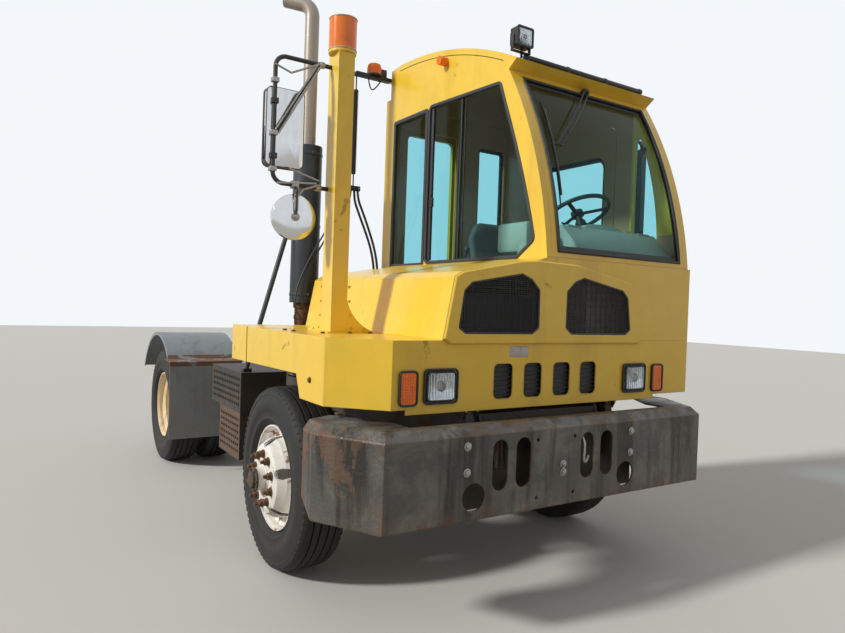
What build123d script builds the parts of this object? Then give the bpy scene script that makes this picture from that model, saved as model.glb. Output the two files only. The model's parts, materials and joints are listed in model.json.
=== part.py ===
from build123d import *
import math
import os

# Millimetres. X is to the vehicle's left, Y runs rearward from the bumper's face, Z is up from the ground.
# The written solids are moved forward by half the length, so that the origin lies under the middle.

# whole vehicle
overall_length = 5020.0
half_width = 1220.0                # deck and cab side
mirror_reach = 1370.0              # outermost edge of either mirror head
front_axle_y = 1187.0
wheelbase = 2946.0
rear_axle_y = front_axle_y + wheelbase
sheet = 6.0                        # body sheet metal
touch_gap = 0.3                    # pieces on different bodies that nearly touch

# tyres and wheels
tyre_radius = 525.0
tyre_width = 278.0
tyre_bead_radius = 292.0
rim_radius = 302.0                 # over the flange
rim_width = 216.0
wheel_offset = 168.0               # from the rim's middle to the face that bolts to the hub
disc_plate = 12.0
front_track_half = 1060.0          # to the middle of the tyre
dual_plane = 896.0                 # where the two discs of a pair meet
rear_outer_half = dual_plane + wheel_offset
rear_inner_half = dual_plane - wheel_offset
hand_holes = 5
hub_radius = 88.0
hand_hole_circle = 208.0
hub_studs = 10
stud_circle_radius = 142.0

# frame
rail_half = 432.0                  # outside of the rail's web
rail_flange = 82.0
rail_web = 9.0
rail_bottom = 755.0
rail_top = 1022.0
rail_front = 110.0
rail_nose_top = 965.0              # the rails' front ends are cut down for the tilted cab's lip
rail_nose_y = (205.0, 235.0)
kingpin_radius = 18.4
kingpin_bore = 19.0
front_plate_half = 560.0           # plate across the rails behind the bumper's holes

# bumper
bumper_bottom = 537.0
bumper_bend = 942.0                # top of the upright face
bumper_top = 985.0
bumper_front_half = 1111.0
bumper_half = 1302.0
bumper_corner_y = 348.0
bumper_end_y = 450.0
bumper_plate = 12.0
bumper_bevel = 45.0
bumper_opening = 925.0             # half width of the opening behind the front flange
hole_centre_x = -83.0              # the hole pattern lies to the right of the middle

# lower body
body_front = 183.0
body_bottom = 1052.0
body_lip = 25.0
deck_top = 1384.0
deck_rear = 1887.0
corner_x = 980.0                   # where the right front corner's cut starts
corner_y = 424.0
skirt_low_end = 695.0
arch_front = 772.0
arch_z = 1174.0
arch_rear_z = 1158.0

# cab
cab_right = -14.0
cab_wall = 40.0
cab_rear = 2050.0
cowl_z = 1841.0                    # foot of the windshield
visor_foot = (584.0, 2970.0)
visor_tip = (515.0, 3020.0)
roof_rear = (1868.0, 3349.0)
notch_y = 1988.0
notch_top = 3337.0
notch_foot = 3123.0
windshield_sagitta = 70.0
roof_sagitta = 83.0
pillar = 90.0
floor_thick = 34.0
tunnel_x = 300.0                   # left side of the engine tunnel
tunnel_top = 1745.0
glass = 6.0
glass_inset = 14.0                 # from the wall's outer face to the pane

# hinge of the tilting cab
tilt_y = 235.0
tilt_z = 1005.0
ear_thickness = 16.0
lug_centres = (-498.0, 530.0)

# doors
left_door_front = 803.0
left_door_rear = 1690.0
left_door_bottom = 1392.0
left_door_top = 2880.0
door_gap = 5.0
left_hinge_x = half_width + 10.0
rear_door = (80.0, 680.0)
rear_door_bottom = 1400.0
rear_door_top = 3080.0
rear_door_thick = 34.0
rear_door_clear = 6.0
rear_door_travel = 520.0
rear_door_y = cab_rear + rear_door_clear

# fifth wheel boom
boom_pivot = (2640.0, 985.0)
plate_pivot = (3985.0, 1095.0)
plate_top = 1190.0
rod_eye = (3540.0, 1010.0)
barrel_foot = (2990.0, 640.0)
lift_cylinder_x = 150.0
cylinder_radius = 45.0
piston_radius = 26.0
piston_start = 115.0       # from the foot's pin, with the boom down
boom_arm_x = (215.0, 300.0)

# exhaust
stack_x = -640.0
stack_y = 2085.0
shield_radius = 103.0
shield_bottom = 1540.0
shield_top = 2680.0
pipe_radius = 51.0
pipe_top = 3580.0
pipe_bend = 120.0

# mirror post
post_x = (-1002.0, -907.0)
post_y = (826.0, 953.0)
post_top = 2925.0
cap_radius = 77.0
cap_top = 3120.0
gusset_rise = 306.0
gusset_step = 1.0                  # the post's face stands this much before the gusset's


def span_box(x, y, z):
    """A block from three (low, high) pairs."""
    size = [high - low for low, high in (x, y, z)]
    middle = [(high + low) / 2 for low, high in (x, y, z)]
    return Pos(*middle) * Box(*size)


def outline(points, corner=0.0):
    face = make_face(Polyline(*points, close=True))
    if corner:
        face = fillet(face.vertices(), corner)
    return face


side_view = Plane(origin=(0, 0, 0), x_dir=(0, 1, 0), z_dir=(1, 0, 0))
front_view = Plane(origin=(0, 0, 0), x_dir=(1, 0, 0), z_dir=(0, -1, 0))


def across(face, x0, x1):
    """A side-view face (Y, Z) carried from x0 to x1."""
    return Pos(x0, 0, 0) * extrude(side_view * face, x1 - x0)


def lengthwise(face, y0, y1):
    """A front-view face (X, Z) carried from y0 to y1."""
    return Pos(0, y1, 0) * extrude(front_view * face, y1 - y0)


def upward(face, z0, z1):
    """A plan face (X, Y) carried from z0 to z1."""
    return Pos(0, 0, z0) * extrude(face, z1 - z0)


def rod(start, end, radius, bore=0.0):
    run = Vector(*end) - Vector(*start)
    section = Circle(radius)
    if bore:
        section -= Circle(bore)
    return extrude(Plane(origin=start, z_dir=run) * section, run.length)


def tube_along(points, radius, bends):
    """A round bar bent along a run of points, with one bend radius or a list of them."""
    path = FilletPolyline(*points, radius=bends)
    start = Plane(origin=points[0], z_dir=Vector(*points[1]) - Vector(*points[0]))
    return sweep(start * Circle(radius), path=path)


def both_sides(solid):
    return solid + mirror(solid, Plane.YZ)


def mirrored(solid):
    return mirror(solid, Plane.YZ)


# chassis

crossmembers = (  # station, bottom, top, depth along Y
    (250.0, 790.0, 1000.0, 60.0),
    (1900.0, 965.0, 1015.0, 70.0),
    (2500.0, 830.0, 900.0, 70.0),
    (3420.0, 770.0, 850.0, 70.0),
    (overall_length - 460.0, 770.0, 1000.0, 70.0),
)

lamp_places = (-420.0, -330.0, 330.0, 420.0)
lamp_z = rail_bottom + 20
lamp_radius = 40.0
tail_plate = 12.0


def frame_rails():
    channel = outline([
        (rail_half, rail_bottom), (rail_half, rail_top), (rail_half - rail_flange, rail_top),
        (rail_half - rail_flange, rail_top - rail_web), (rail_half - rail_web, rail_top - rail_web),
        (rail_half - rail_web, rail_bottom + rail_web), (rail_half - rail_flange, rail_bottom + rail_web),
        (rail_half - rail_flange, rail_bottom)])
    rails = both_sides(lengthwise(channel, rail_front, overall_length - tail_plate))
    nose_cut = outline([(rail_front - 1, rail_nose_top), (rail_nose_y[0], rail_nose_top),
                        (rail_nose_y[1], rail_top + 1), (rail_front - 1, rail_top + 1)])
    rails -= across(nose_cut, -rail_half - 1, rail_half + 1)
    rails += span_box((hole_centre_x - front_plate_half, hole_centre_x + front_plate_half),
                      (rail_front, rail_front + sheet), (bumper_bottom + 38, rail_nose_top - 60))
    inside = rail_half - rail_web
    for station, bottom, top, depth in crossmembers:
        rails += span_box((-inside, inside), (station - depth / 2, station + depth / 2), (bottom, top))
    tail = span_box((-rail_half - 60, rail_half + 60), (overall_length - tail_plate, overall_length),
                    (rail_bottom - 60, rail_top))
    for x in lamp_places:
        tail -= rod((x, overall_length - tail_plate - 8, lamp_z), (x, overall_length + 5, lamp_z),
                    lamp_radius + touch_gap)
    rails += tail
    # hinge lugs of the tilting cab, and their arms to the rails
    for centre in lug_centres:
        lug = across(outline([(tilt_y - 38, tilt_z - 80), (tilt_y + 38, tilt_z - 80),
                              (tilt_y + 38, tilt_z + 24), (tilt_y - 22, tilt_z + 24)], 8),
                     centre - 26, centre + 26)
        lug -= rod((centre - 40, tilt_y, tilt_z), (centre + 40, tilt_y, tilt_z), 15 + touch_gap)
        reach = sorted((math.copysign(rail_half - 1, centre), centre + math.copysign(26, centre)))
        rails += lug
        rails += span_box(reach, (tilt_y - 38, tilt_y + 38), (rail_top - 117, rail_top - 72))
    # boom pivot brackets
    for side in (-1, 1):
        cheek = across(outline([(boom_pivot[0] - 90, rail_top - 120), (boom_pivot[0] + 90, rail_top - 120),
                                (boom_pivot[0] + 45, boom_pivot[1] + 50),
                                (boom_pivot[0] - 45, boom_pivot[1] + 50)]),
                       boom_arm_x[1] + 12, boom_arm_x[1] + 30)
        cheek += span_box((boom_arm_x[1] + 12, inside), (boom_pivot[0] - 90, boom_pivot[0] + 90),
                          (rail_top - 120, rail_top - 100))
        cheek -= rod((0, *boom_pivot), (500, *boom_pivot), 30 + touch_gap)
        rails += cheek if side > 0 else mirrored(cheek)
    # feet of the lift cylinders
    foot_y, foot_z = barrel_foot
    tray = span_box((-inside, inside), (foot_y - 60, foot_y + 60), (foot_z - 80, foot_z - 60))
    for side in (-1, 1):
        tray += span_box(sorted((side * inside, side * (inside - 12))), (foot_y - 60, foot_y + 60),
                         (foot_z - 80, rail_bottom + 40))
        for ear_x in (lift_cylinder_x - 42, lift_cylinder_x + 28):
            ear = across(outline([(foot_y - 45, foot_z - 61), (foot_y + 45, foot_z - 61),
                                  (foot_y + 28, foot_z + 32), (foot_y - 28, foot_z + 32)], 8),
                         ear_x, ear_x + 14)
            tray += ear if side > 0 else mirrored(ear)
        pin_x = side * lift_cylinder_x
        tray += rod((pin_x - 50, foot_y, foot_z), (pin_x + 50, foot_y, foot_z), 18)
    return rails + tray


bumper_holes = (  # from the pattern's middle: x, z, width, height
    (-375.0, 786.0, 97.0, 250.0), (-225.0, 786.0, 97.0, 250.0),
    (225.0, 781.0, 97.0, 245.0), (375.0, 781.0, 97.0, 245.0),
    (-532.0, 648.0, 136.0, 136.0), (532.0, 648.0, 136.0, 136.0),
    (-130.0, 890.0, 21.0, 21.0), (130.0, 890.0, 21.0, 21.0),
    (-130.0, 595.0, 21.0, 21.0), (130.0, 595.0, 21.0, 21.0),
)


def bumper():
    def plan(back, inset=0.0):
        face = outline([(-bumper_half, back), (-bumper_half, bumper_corner_y), (-bumper_front_half, 0),
                        (bumper_front_half, 0), (bumper_half, bumper_corner_y), (bumper_half, back)])
        return offset(face, -inset, kind=Kind.INTERSECTION) if inset else face

    behind = bumper_end_y + 150
    face = upward(plan(bumper_end_y), bumper_bottom, bumper_bend)
    face -= upward(plan(behind, bumper_plate), bumper_bottom - 1, bumper_bend + 1)
    top = loft([Pos(0, 0, bumper_bend) * plan(behind), Pos(0, 0, bumper_top) * plan(behind, bumper_bevel)])
    top -= loft([Pos(0, 0, bumper_bend - bumper_plate) * plan(behind + 50, 0.1),
                 Pos(0, 0, bumper_top - bumper_plate) * plan(behind + 50, bumper_bevel)])
    # the top plate is a narrow flange in front and a gusset over each corner
    flange_back = bumper_bevel + 58
    opening = outline([(-bumper_opening, flange_back), (bumper_opening, flange_back), (bumper_opening, 259),
                       (1118, 552), (1118, behind + 60), (-1118, behind + 60), (-1118, 552),
                       (-bumper_opening, 259)])
    top -= upward(opening, 900, 1000)
    corner_cut = outline([(1118, 552), (bumper_half + 20, bumper_end_y), (bumper_half + 20, behind + 60),
                          (1118, behind + 60)])
    top -= both_sides(upward(corner_cut, 900, 1000))
    lower_cut = across(outline([(bumper_end_y - 110, bumper_bottom - 1), (bumper_end_y + 1, bumper_bottom - 1),
                                (bumper_end_y + 1, bumper_bottom + 90)]), -1400, 1400)
    bar = face + top - lower_cut
    for x, z, width, height in bumper_holes:
        shape = Circle(width / 2) if width == height else SlotOverall(height, width, rotation=90)
        bar -= lengthwise(Pos(hole_centre_x + x, z) * shape, -5, bumper_plate + 5)
    # brackets to the rails, narrow where the slots open beside them
    inner = rail_half - rail_flange
    for side in (-1, 1):
        for outer, y in ((rail_half - 30, (bumper_plate - 1, 61)), (rail_half, (60, rail_front))):
            bar += span_box(sorted((side * inner, side * outer)), y, (rail_bottom, bumper_bend - 10))
    return bar


def engine_block():
    return span_box((-340, 270), (680, 1700), (640, 1640))


pinion_reach = 240.0               # from the axle's centre to the pinion's flange
pinion_z = 557.0


def driveline():
    gearbox = lengthwise(outline([(-150, 660), (150, 660), (190, 800), (150, 960), (-150, 960), (-190, 800)]),
                         1700, 2260)
    start = Vector(0, 2260, 800)
    end = Vector(0, rear_axle_y - pinion_reach - 42 - touch_gap, pinion_z)
    shaft = rod(start, end, 45)
    for point in (start, end):
        shaft += rod(point - Vector(75, 0, 0), point + Vector(75, 0, 0), 42)
    return gearbox + shaft


def radiator():
    foot = rail_top + 12
    core = span_box((-450, 250), (330, 440), (foot + 45, 1560))
    core += span_box((-465, 265), (320, 450), (1560, 1615))
    core += span_box((-465, 265), (320, 450), (foot, foot + 45))
    shroud = rod((-100, 439, 1318), (-100, 560, 1318), 225) - rod((-100, 430, 1318), (-100, 570, 1318), 213)
    bearer = span_box((-rail_half, rail_half), (345, 425), (rail_top, foot))
    return core + shroud + bearer


kingpin_x = 920.0
beam_top = 470.0


def front_axle():
    beam = span_box((-620, 620), (front_axle_y - 45, front_axle_y + 45), (beam_top - 110, beam_top - 92))
    beam += span_box((-620, 620), (front_axle_y - 45, front_axle_y + 45), (beam_top - 18, beam_top))
    beam += span_box((-620, 620), (front_axle_y - 10, front_axle_y + 10), (beam_top - 110, beam_top))
    for side in (-1, 1):
        arm = lengthwise(outline([(610, beam_top - 110), (610, beam_top), (760, 585), (kingpin_x - 40, 585),
                                  (kingpin_x - 40, 465), (790, 465), (700, beam_top - 110)]),
                         front_axle_y - 40, front_axle_y + 40)
        boss = rod((kingpin_x, front_axle_y, 465), (kingpin_x, front_axle_y, 585), 46)
        boss += span_box((kingpin_x - 60, kingpin_x), (front_axle_y - 40, front_axle_y + 40), (465, 585))
        boss -= rod((kingpin_x, front_axle_y, 460), (kingpin_x, front_axle_y, 590), kingpin_bore)
        half = arm + boss
        beam += half if side > 0 else mirrored(half)
    # leaf springs with their hangers
    spring_x = rail_half - 45
    leaves = ((480.0, 12.0), (420.0, 12.0), (330.0, 12.0), (230.0, 12.0))   # half length, thickness
    pack = None
    level = beam_top + 12
    seat = span_box((spring_x - 50, spring_x + 50), (front_axle_y - 70, front_axle_y + 70), (beam_top, level))
    for half, thick in reversed(leaves):
        leaf = span_box((spring_x - 38, spring_x + 38), (front_axle_y - half, front_axle_y + half),
                        (level, level + thick))
        pack = leaf if pack is None else pack + leaf
        level += thick
    for end in (-1, 1):
        eye_y = front_axle_y + end * leaves[0][0]
        hanger = span_box((spring_x - 38, spring_x + 38), sorted((eye_y, eye_y - end * 30)),
                          (level - 1, rail_bottom))
        pack += hanger
    pack += span_box((spring_x - 45, spring_x + 45), (front_axle_y - 60, front_axle_y + 60), (level, level + 20))
    return beam + both_sides(seat + pack)


spindle_end = front_track_half + 140
spindle_radius = 36.0


def knuckle(side):
    """The steered stub of one side, modelled on the left."""
    top = rod((kingpin_x, front_axle_y, 588), (kingpin_x, front_axle_y, 625), 42)
    foot = rod((kingpin_x, front_axle_y, 425), (kingpin_x, front_axle_y, 462), 42)
    pin = rod((kingpin_x, front_axle_y, 462), (kingpin_x, front_axle_y, 588), kingpin_radius)
    yoke = span_box((kingpin_x, kingpin_x + 70), (front_axle_y - 40, front_axle_y + 40), (588, 625))
    yoke += span_box((kingpin_x, kingpin_x + 70), (front_axle_y - 40, front_axle_y + 40), (425, 462))
    yoke += span_box((kingpin_x + 50, kingpin_x + 68), (front_axle_y - 60, front_axle_y + 60), (425, 625))
    spindle = rod((kingpin_x + 60, front_axle_y, tyre_radius), (spindle_end, front_axle_y, tyre_radius),
                  spindle_radius)
    arm = span_box((kingpin_x - 60, kingpin_x + 20), (front_axle_y + 30, front_axle_y + 190), (432, 455))
    stub = top + foot + pin + yoke + spindle + arm
    return stub if side > 0 else mirrored(stub)


def tyre(middle_x, axle_y):
    half = tyre_width / 2
    tread = half - 34
    bead = rim_width / 2 - 12 - touch_gap
    profile = Polyline((tyre_bead_radius, -bead), (rim_radius + 2, -bead), (rim_radius + 6, -bead - 18),
                       (tyre_bead_radius + 56, -half + 8), (420, -half), (tyre_radius - 42, -half + 8),
                       (tyre_radius - 6, -tread), (tyre_radius, -tread + 26), (tyre_radius, tread - 26),
                       (tyre_radius - 6, tread),
                       (tyre_radius - 42, half - 8), (420, half), (tyre_bead_radius + 56, half - 8),
                       (rim_radius + 6, bead + 18), (rim_radius + 2, bead), (tyre_bead_radius, bead), close=True)
    ring = revolve(Plane.XY * make_face(profile), Axis.Y)
    return Pos(middle_x, axle_y, tyre_radius) * Rot(0, 0, 90) * ring


def disc_wheel(mount_x, axle_y, outward):
    """Rim and disc on the left; the disc bolts on at mount_x and bulges towards outward (+1 or -1)."""
    near = rim_width / 2 - wheel_offset
    far = -rim_width / 2 - wheel_offset
    seat = tyre_bead_radius - touch_gap
    well = 246.0
    lip = 12.0
    plate = 10.0
    outer = [(rim_radius, near), (rim_radius, near - lip), (seat, near - lip), (seat, near - 52),
             (well, near - 72), (well, far + 72), (seat, far + 52), (seat, far + lip), (rim_radius, far + lip),
             (rim_radius, far)]
    inner = [(rim_radius - plate, far), (seat - plate, far + 20), (seat - plate, far + 46),
             (well - plate, far + 66), (well - plate, near - 66), (seat - plate, near - 46),
             (seat - plate, near - 20), (rim_radius - plate, near)]
    rim = revolve(make_face(Polyline(*outer, *inner, close=True)), Axis.Y)
    edge = well - plate + 1
    crown = [(hub_radius, 0), (170, 0), (196, -10), (226, -58), (edge, near - 68), (edge, near - 92),
             (edge - disc_plate, near - 84), (214, -62), (187, -21), (167, -disc_plate),
             (hub_radius, -disc_plate)]
    disc = revolve(make_face(Polyline(*crown, close=True)), Axis.Y)
    for index in range(hand_holes):
        angle = math.radians(360 / hand_holes * index + 18)
        disc -= (Pos(hand_hole_circle * math.cos(angle), 0, hand_hole_circle * math.sin(angle))
                 * Rot(90, 0, 0) * Cylinder(30, 400))
    return Pos(mount_x, axle_y, tyre_radius) * Rot(0, 0, -90 * outward) * (rim + disc)


def hub_part(axle_y, x0, x1, radius):
    return rod((x0, axle_y, tyre_radius), (x1, axle_y, tyre_radius), radius)


def studs(axle_y, x0, x1):
    ring = []
    for index in range(hub_studs):
        angle = math.radians(360 / hub_studs * (index + 0.5))
        y = axle_y + stud_circle_radius * math.cos(angle)
        z = tyre_radius + stud_circle_radius * math.sin(angle)
        ring.append(rod((x0, y, z), (x1, y, z), 15))
    return ring


def front_wheel(side):
    mount = front_track_half + wheel_offset
    hub = hub_part(front_axle_y, mount - 170, mount + 4, hub_radius)
    hub += hub_part(front_axle_y, mount, mount + 52, 66)
    hub += hub_part(front_axle_y, mount - disc_plate - 20, mount - disc_plate, 165)
    hub += hub_part(front_axle_y, mount - 215, mount - 120, 205)
    hub -= hub_part(front_axle_y, kingpin_x, spindle_end + 5, spindle_radius + touch_gap)
    for stud in studs(front_axle_y, mount - 1, mount + 26):
        hub += stud
    wheel = disc_wheel(mount, front_axle_y, 1) + hub
    return wheel if side > 0 else mirrored(wheel)


axle_tube_radius = 60.0
axle_end = dual_plane


def rear_wheels(side):
    hub = hub_part(rear_axle_y, dual_plane - 250, dual_plane + 130, hub_radius)
    hub += hub_part(rear_axle_y, dual_plane + 130, dual_plane + 142, 74)
    hub += hub_part(rear_axle_y, dual_plane - disc_plate - 22, dual_plane - disc_plate, 165)
    hub += hub_part(rear_axle_y, dual_plane - 260, dual_plane - 70, 205)
    hub -= hub_part(rear_axle_y, 0, axle_end + 5, axle_tube_radius + touch_gap)
    for stud in studs(rear_axle_y, dual_plane + disc_plate - 1, dual_plane + disc_plate + 40):
        hub += stud
    wheels = disc_wheel(dual_plane, rear_axle_y, 1) + disc_wheel(dual_plane, rear_axle_y, -1) + hub
    return wheels if side > 0 else mirrored(wheels)


def rear_axle():
    housing = rod((-axle_end, rear_axle_y, tyre_radius), (axle_end, rear_axle_y, tyre_radius), axle_tube_radius)
    bowl = rod((-105, rear_axle_y, tyre_radius), (105, rear_axle_y, tyre_radius), 205)
    bowl = chamfer(bowl.edges().filter_by(GeomType.CIRCLE), 45)
    nose = rod((0, rear_axle_y - 40, pinion_z), (0, rear_axle_y - pinion_reach, pinion_z), 95)
    axle = housing + bowl + nose
    for side in (-1, 1):
        block_x = sorted((side * (rail_half - rail_flange), side * rail_half))
        axle += span_box(block_x, (rear_axle_y - 110, rear_axle_y + 110), (tyre_radius + 40, rail_bottom))
        for offset_y in (-78, 78):
            axle += rod((side * (rail_half - 41), rear_axle_y + offset_y, tyre_radius - 90),
                        (side * (rail_half - 41), rear_axle_y + offset_y, tyre_radius + 60), 12)
        axle += span_box(block_x, (rear_axle_y - 100, rear_axle_y + 100), (tyre_radius - 80, tyre_radius - 60))
    return axle


def air_tanks():
    tanks = []
    for station, side in ((2900.0, 1), (3360.0, -1)):
        tank_x = side * (rail_half + 130)
        tank = rod((tank_x, station - 260, 900), (tank_x, station + 130, 900), 110)
        tank = fillet(tank.edges().filter_by(GeomType.CIRCLE), 30)
        tank += span_box(sorted((side * rail_half, tank_x)), (station - 180, station - 140), (880, 920))
        tank += span_box(sorted((side * rail_half, tank_x)), (station + 20, station + 60), (880, 920))
        tanks.append(tank)
    return tanks


def fuel_tank():
    body = lengthwise(outline([(560, 480), (1110, 480), (1110, 960), (560, 960)], 70), 2030, 2560)
    body += rod((900, 2180, 950), (900, 2180, 1000), 45)
    for station in (2120.0, 2470.0):
        body += span_box((rail_half, 600), (station - 25, station + 25), (850, 930))
    return body


step_x = -1100.0
step_y = (2045.0, 2750.0)
step_z = (430.0, 760.0, 1040.0)    # foot of the lower step, floor and top of the battery box
step_run = 480.0                   # length of the lower step


def step_box():
    """Battery box with an open grating on its outer side, and a step below it."""
    depth = 330.0
    wall = 5.0
    foot, shelf, top = step_z
    front, back = step_y
    box_part = span_box((step_x, step_x + depth), step_y, (shelf, top))
    box_part -= span_box((step_x - 1, step_x + depth - wall), (front + wall, back - wall), (shelf + wall, top - wall))
    upper = grating(step_y, (shelf + 4, top - 4))
    lower = grating((front, front + step_run), (foot + 4, shelf - 2))
    frame = span_box((step_x, step_x + 260), (front, front + step_run), (foot, foot + wall))
    for station in (front, front + step_run - wall):
        frame += span_box((step_x, step_x + 260), (station, station + wall), (foot, shelf + 1))
    battery = span_box((step_x + 60, step_x + depth - 40), (front + 60, back - 60), (shelf, top - 50))
    for station in (front + 120, back - 120):
        box_part += span_box((step_x + depth - 1, -rail_half), (station - 30, station + 30), (800, 860))
    return box_part + upper + lower + frame + battery


def grating(y, z):
    """An upright perforated panel."""
    wall = 5.0
    hole = 24.0
    pitch = 44.0
    panel = span_box((step_x, step_x + wall), y, z)
    columns = int((y[1] - y[0] - 30) / pitch)
    rows = int((z[1] - z[0] - 20) / pitch)
    y_start = (y[0] + y[1]) / 2 - (columns - 1) * pitch / 2
    z_start = (z[0] + z[1]) / 2 - (rows - 1) * pitch / 2
    cutters = [Pos(step_x + wall / 2, y_start + i * pitch, z_start + j * pitch) * Rot(45, 0, 0)
               * Box(3 * wall, hole, hole) for i in range(columns) for j in range(rows)]
    return panel - cutters


def exhaust_stack():
    base = rod((stack_x, stack_y, 1010), (stack_x, stack_y, shield_bottom), 62)
    shield = rod((stack_x, stack_y, shield_bottom), (stack_x, stack_y, shield_top), shield_radius,
                 shield_radius - 4)
    lid = rod((stack_x, stack_y, shield_top - 6), (stack_x, stack_y, shield_top), shield_radius)
    floor = rod((stack_x, stack_y, shield_bottom), (stack_x, stack_y, shield_bottom + 6), shield_radius)
    turn = math.sqrt(0.5)
    reach = 210.0
    pipe = tube_along([(stack_x, stack_y, shield_top - 6), (stack_x, stack_y, pipe_top + pipe_bend),
                       (stack_x - reach * turn, stack_y + reach * turn, pipe_top + pipe_bend + 60)],
                      pipe_radius, pipe_bend - 20)
    foot = span_box((stack_x - 80, -rail_half), (stack_y - 60, stack_y + 60), (1000, 1012))
    foot += span_box((-rail_half - 8, -rail_half), (stack_y - 60, stack_y + 60), (900, 1001))
    strut_x, strut_y = -1040.0, stack_y + 38
    strut = rod((strut_x, strut_y, step_z[2] + 20), (stack_x - shield_radius + 4, stack_y + 10, 2190), 17)
    strut += span_box((strut_x - 30, strut_x + 30), (strut_y - 30, strut_y + 30), (step_z[2], step_z[2] + 25))
    return base + shield + lid + floor + pipe + foot + strut


fender_centre_y = rear_axle_y + 117
fender_radius = 680.0
fender_x = (600.0, 1225.0)
fender_plate = 5.0
fender_ends = (27.0, 137.0)        # degrees, from straight back


def rear_fenders():
    def on_arch(radius, angle):
        return radius * math.cos(math.radians(angle)), radius * math.sin(math.radians(angle))

    ring = Circle(fender_radius) - Circle(fender_radius - fender_plate)
    far = 900.0
    sector = outline([(0, 0), on_arch(far, fender_ends[0]), (far, far), (-far, far), on_arch(far, fender_ends[1])])
    arch = across(Pos(fender_centre_y, tyre_radius) * (ring & sector), *fender_x)
    lip_ring = Circle(fender_radius) - Circle(fender_radius - 30)
    arch += across(Pos(fender_centre_y, tyre_radius) * (lip_ring & sector), fender_x[1] - fender_plate, fender_x[1])
    start_y, start_z = on_arch(fender_radius - 1, fender_ends[1])
    start_y += fender_centre_y
    start_z += tyre_radius
    flap_y = rear_axle_y - tyre_radius - 45
    flap_top = start_z - 8
    flap = across(outline([(start_y, start_z), (start_y, start_z - 9), (flap_y, flap_top - 8), (flap_y - 12, 300),
                           (flap_y - 20, 300), (flap_y - 8, flap_top), (start_y - 8, start_z + 2)]),
                  fender_x[0] + 20, fender_x[1] + 25)
    brackets = None
    for station in (fender_centre_y - 200, fender_centre_y + 260):
        height = tyre_radius + math.sqrt(fender_radius ** 2 - (station - fender_centre_y) ** 2)
        arm = rod((rail_half + 17, station, rail_top - 60), (fender_x[0] + 20, station, height - 18), 20)
        arm += span_box((rail_half, rail_half + 26), (station - 35, station + 35), (rail_top - 100, rail_top - 20))
        brackets = arm if brackets is None else brackets + arm
    side = arch + flap + brackets
    return [side, mirrored(side)]


def tail_lamps():
    return [rod((x, overall_length - tail_plate, lamp_z), (x, overall_length - 0.1, lamp_z), lamp_radius)
            for x in lamp_places]


def deck_plate():
    plate = span_box((-560, 560), (2180, 2540), (rail_top, rail_top + 6))
    return plate + both_sides(span_box((rail_half, 560), (2180, 2540), (rail_top - 40, rail_top + 1))
                              - span_box((rail_half - 1, 552), (2188, 2532), (rail_top - 60, rail_top - 0.5)))


# boom and its lift cylinders

def boom():
    pivot_y, pivot_z = boom_pivot
    eye_y, eye_z = rod_eye
    end_y, end_z = plate_pivot
    arm = across(outline([(pivot_y - 55, pivot_z - 60), (pivot_y + 80, pivot_z - 75), (eye_y, eye_z - 75),
                          (end_y + 60, end_z - 55), (end_y + 60, end_z + 25), (end_y - 60, end_z + 25),
                          (end_y - 390, end_z - 33), (eye_y - 200, eye_z + 45),
                          (pivot_y - 55, pivot_z + 55)], 20), *boom_arm_x)
    body = both_sides(arm)
    body += rod((-boom_arm_x[1] - 11, pivot_y, pivot_z), (boom_arm_x[1] + 11, pivot_y, pivot_z), 48)
    body += rod((-boom_arm_x[1] - 32, pivot_y, pivot_z), (boom_arm_x[1] + 32, pivot_y, pivot_z), 30)
    body += span_box((-boom_arm_x[0] - 5, boom_arm_x[0] + 5), (eye_y + 60, eye_y + 180), (eye_z - 40, eye_z + 30))
    for side in (-1, 1):
        for ear_x in (lift_cylinder_x - 44, lift_cylinder_x + 30):
            ear = across(outline([(eye_y - 40, eye_z - 40), (eye_y + 70, eye_z - 40), (eye_y + 70, eye_z + 28),
                                  (eye_y - 30, eye_z + 40)], 10), ear_x, ear_x + 14)
            body += ear if side > 0 else mirrored(ear)
        body += rod((side * lift_cylinder_x - 40, eye_y, eye_z), (side * lift_cylinder_x + 40, eye_y, eye_z), 14)
    body -= both_sides(rod((boom_arm_x[0] - 20, end_y, end_z), (boom_arm_x[1] + 20, end_y, end_z),
                           25 + touch_gap))
    return body


def fifth_wheel():
    pivot_y, pivot_z = plate_pivot
    underside = plate_top - 46
    plan = outline([(-440, pivot_y - 390), (440, pivot_y - 390), (470, pivot_y - 120), (430, pivot_y + 120),
                    (360, pivot_y + 470), (130, pivot_y + 470), (60, pivot_y + 130), (-60, pivot_y + 130),
                    (-130, pivot_y + 470), (-360, pivot_y + 470), (-430, pivot_y + 120), (-470, pivot_y - 120)])
    plate = upward(plan, underside, plate_top)
    plate -= rod((0, pivot_y + 100, underside - 5), (0, pivot_y + 100, plate_top + 5), 26)
    plate -= span_box((-26, 26), (pivot_y + 100, pivot_y + 300), (underside - 5, plate_top + 5))
    ramp = across(outline([(pivot_y + 250, plate_top + 1), (pivot_y + 480, plate_top + 1),
                           (pivot_y + 480, plate_top - 34)]), -500, 500)
    plate -= ramp
    for side in (-1, 1):
        boss = across(outline([(pivot_y - 70, underside + 1), (pivot_y + 70, underside + 1),
                               (pivot_y + 40, pivot_z - 35), (pivot_y - 40, pivot_z - 35)], 12),
                      boom_arm_x[1] + 6, boom_arm_x[1] + 40)
        boss += rod((boom_arm_x[0] - 15, pivot_y, pivot_z), (boom_arm_x[1] + 8, pivot_y, pivot_z), 25)
        plate += boss if side > 0 else mirrored(boss)
    return plate


cylinder_run = math.hypot(rod_eye[0] - barrel_foot[0], rod_eye[1] - barrel_foot[1])
cylinder_angle = math.degrees(math.atan2(rod_eye[1] - barrel_foot[1], rod_eye[0] - barrel_foot[0]))


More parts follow.
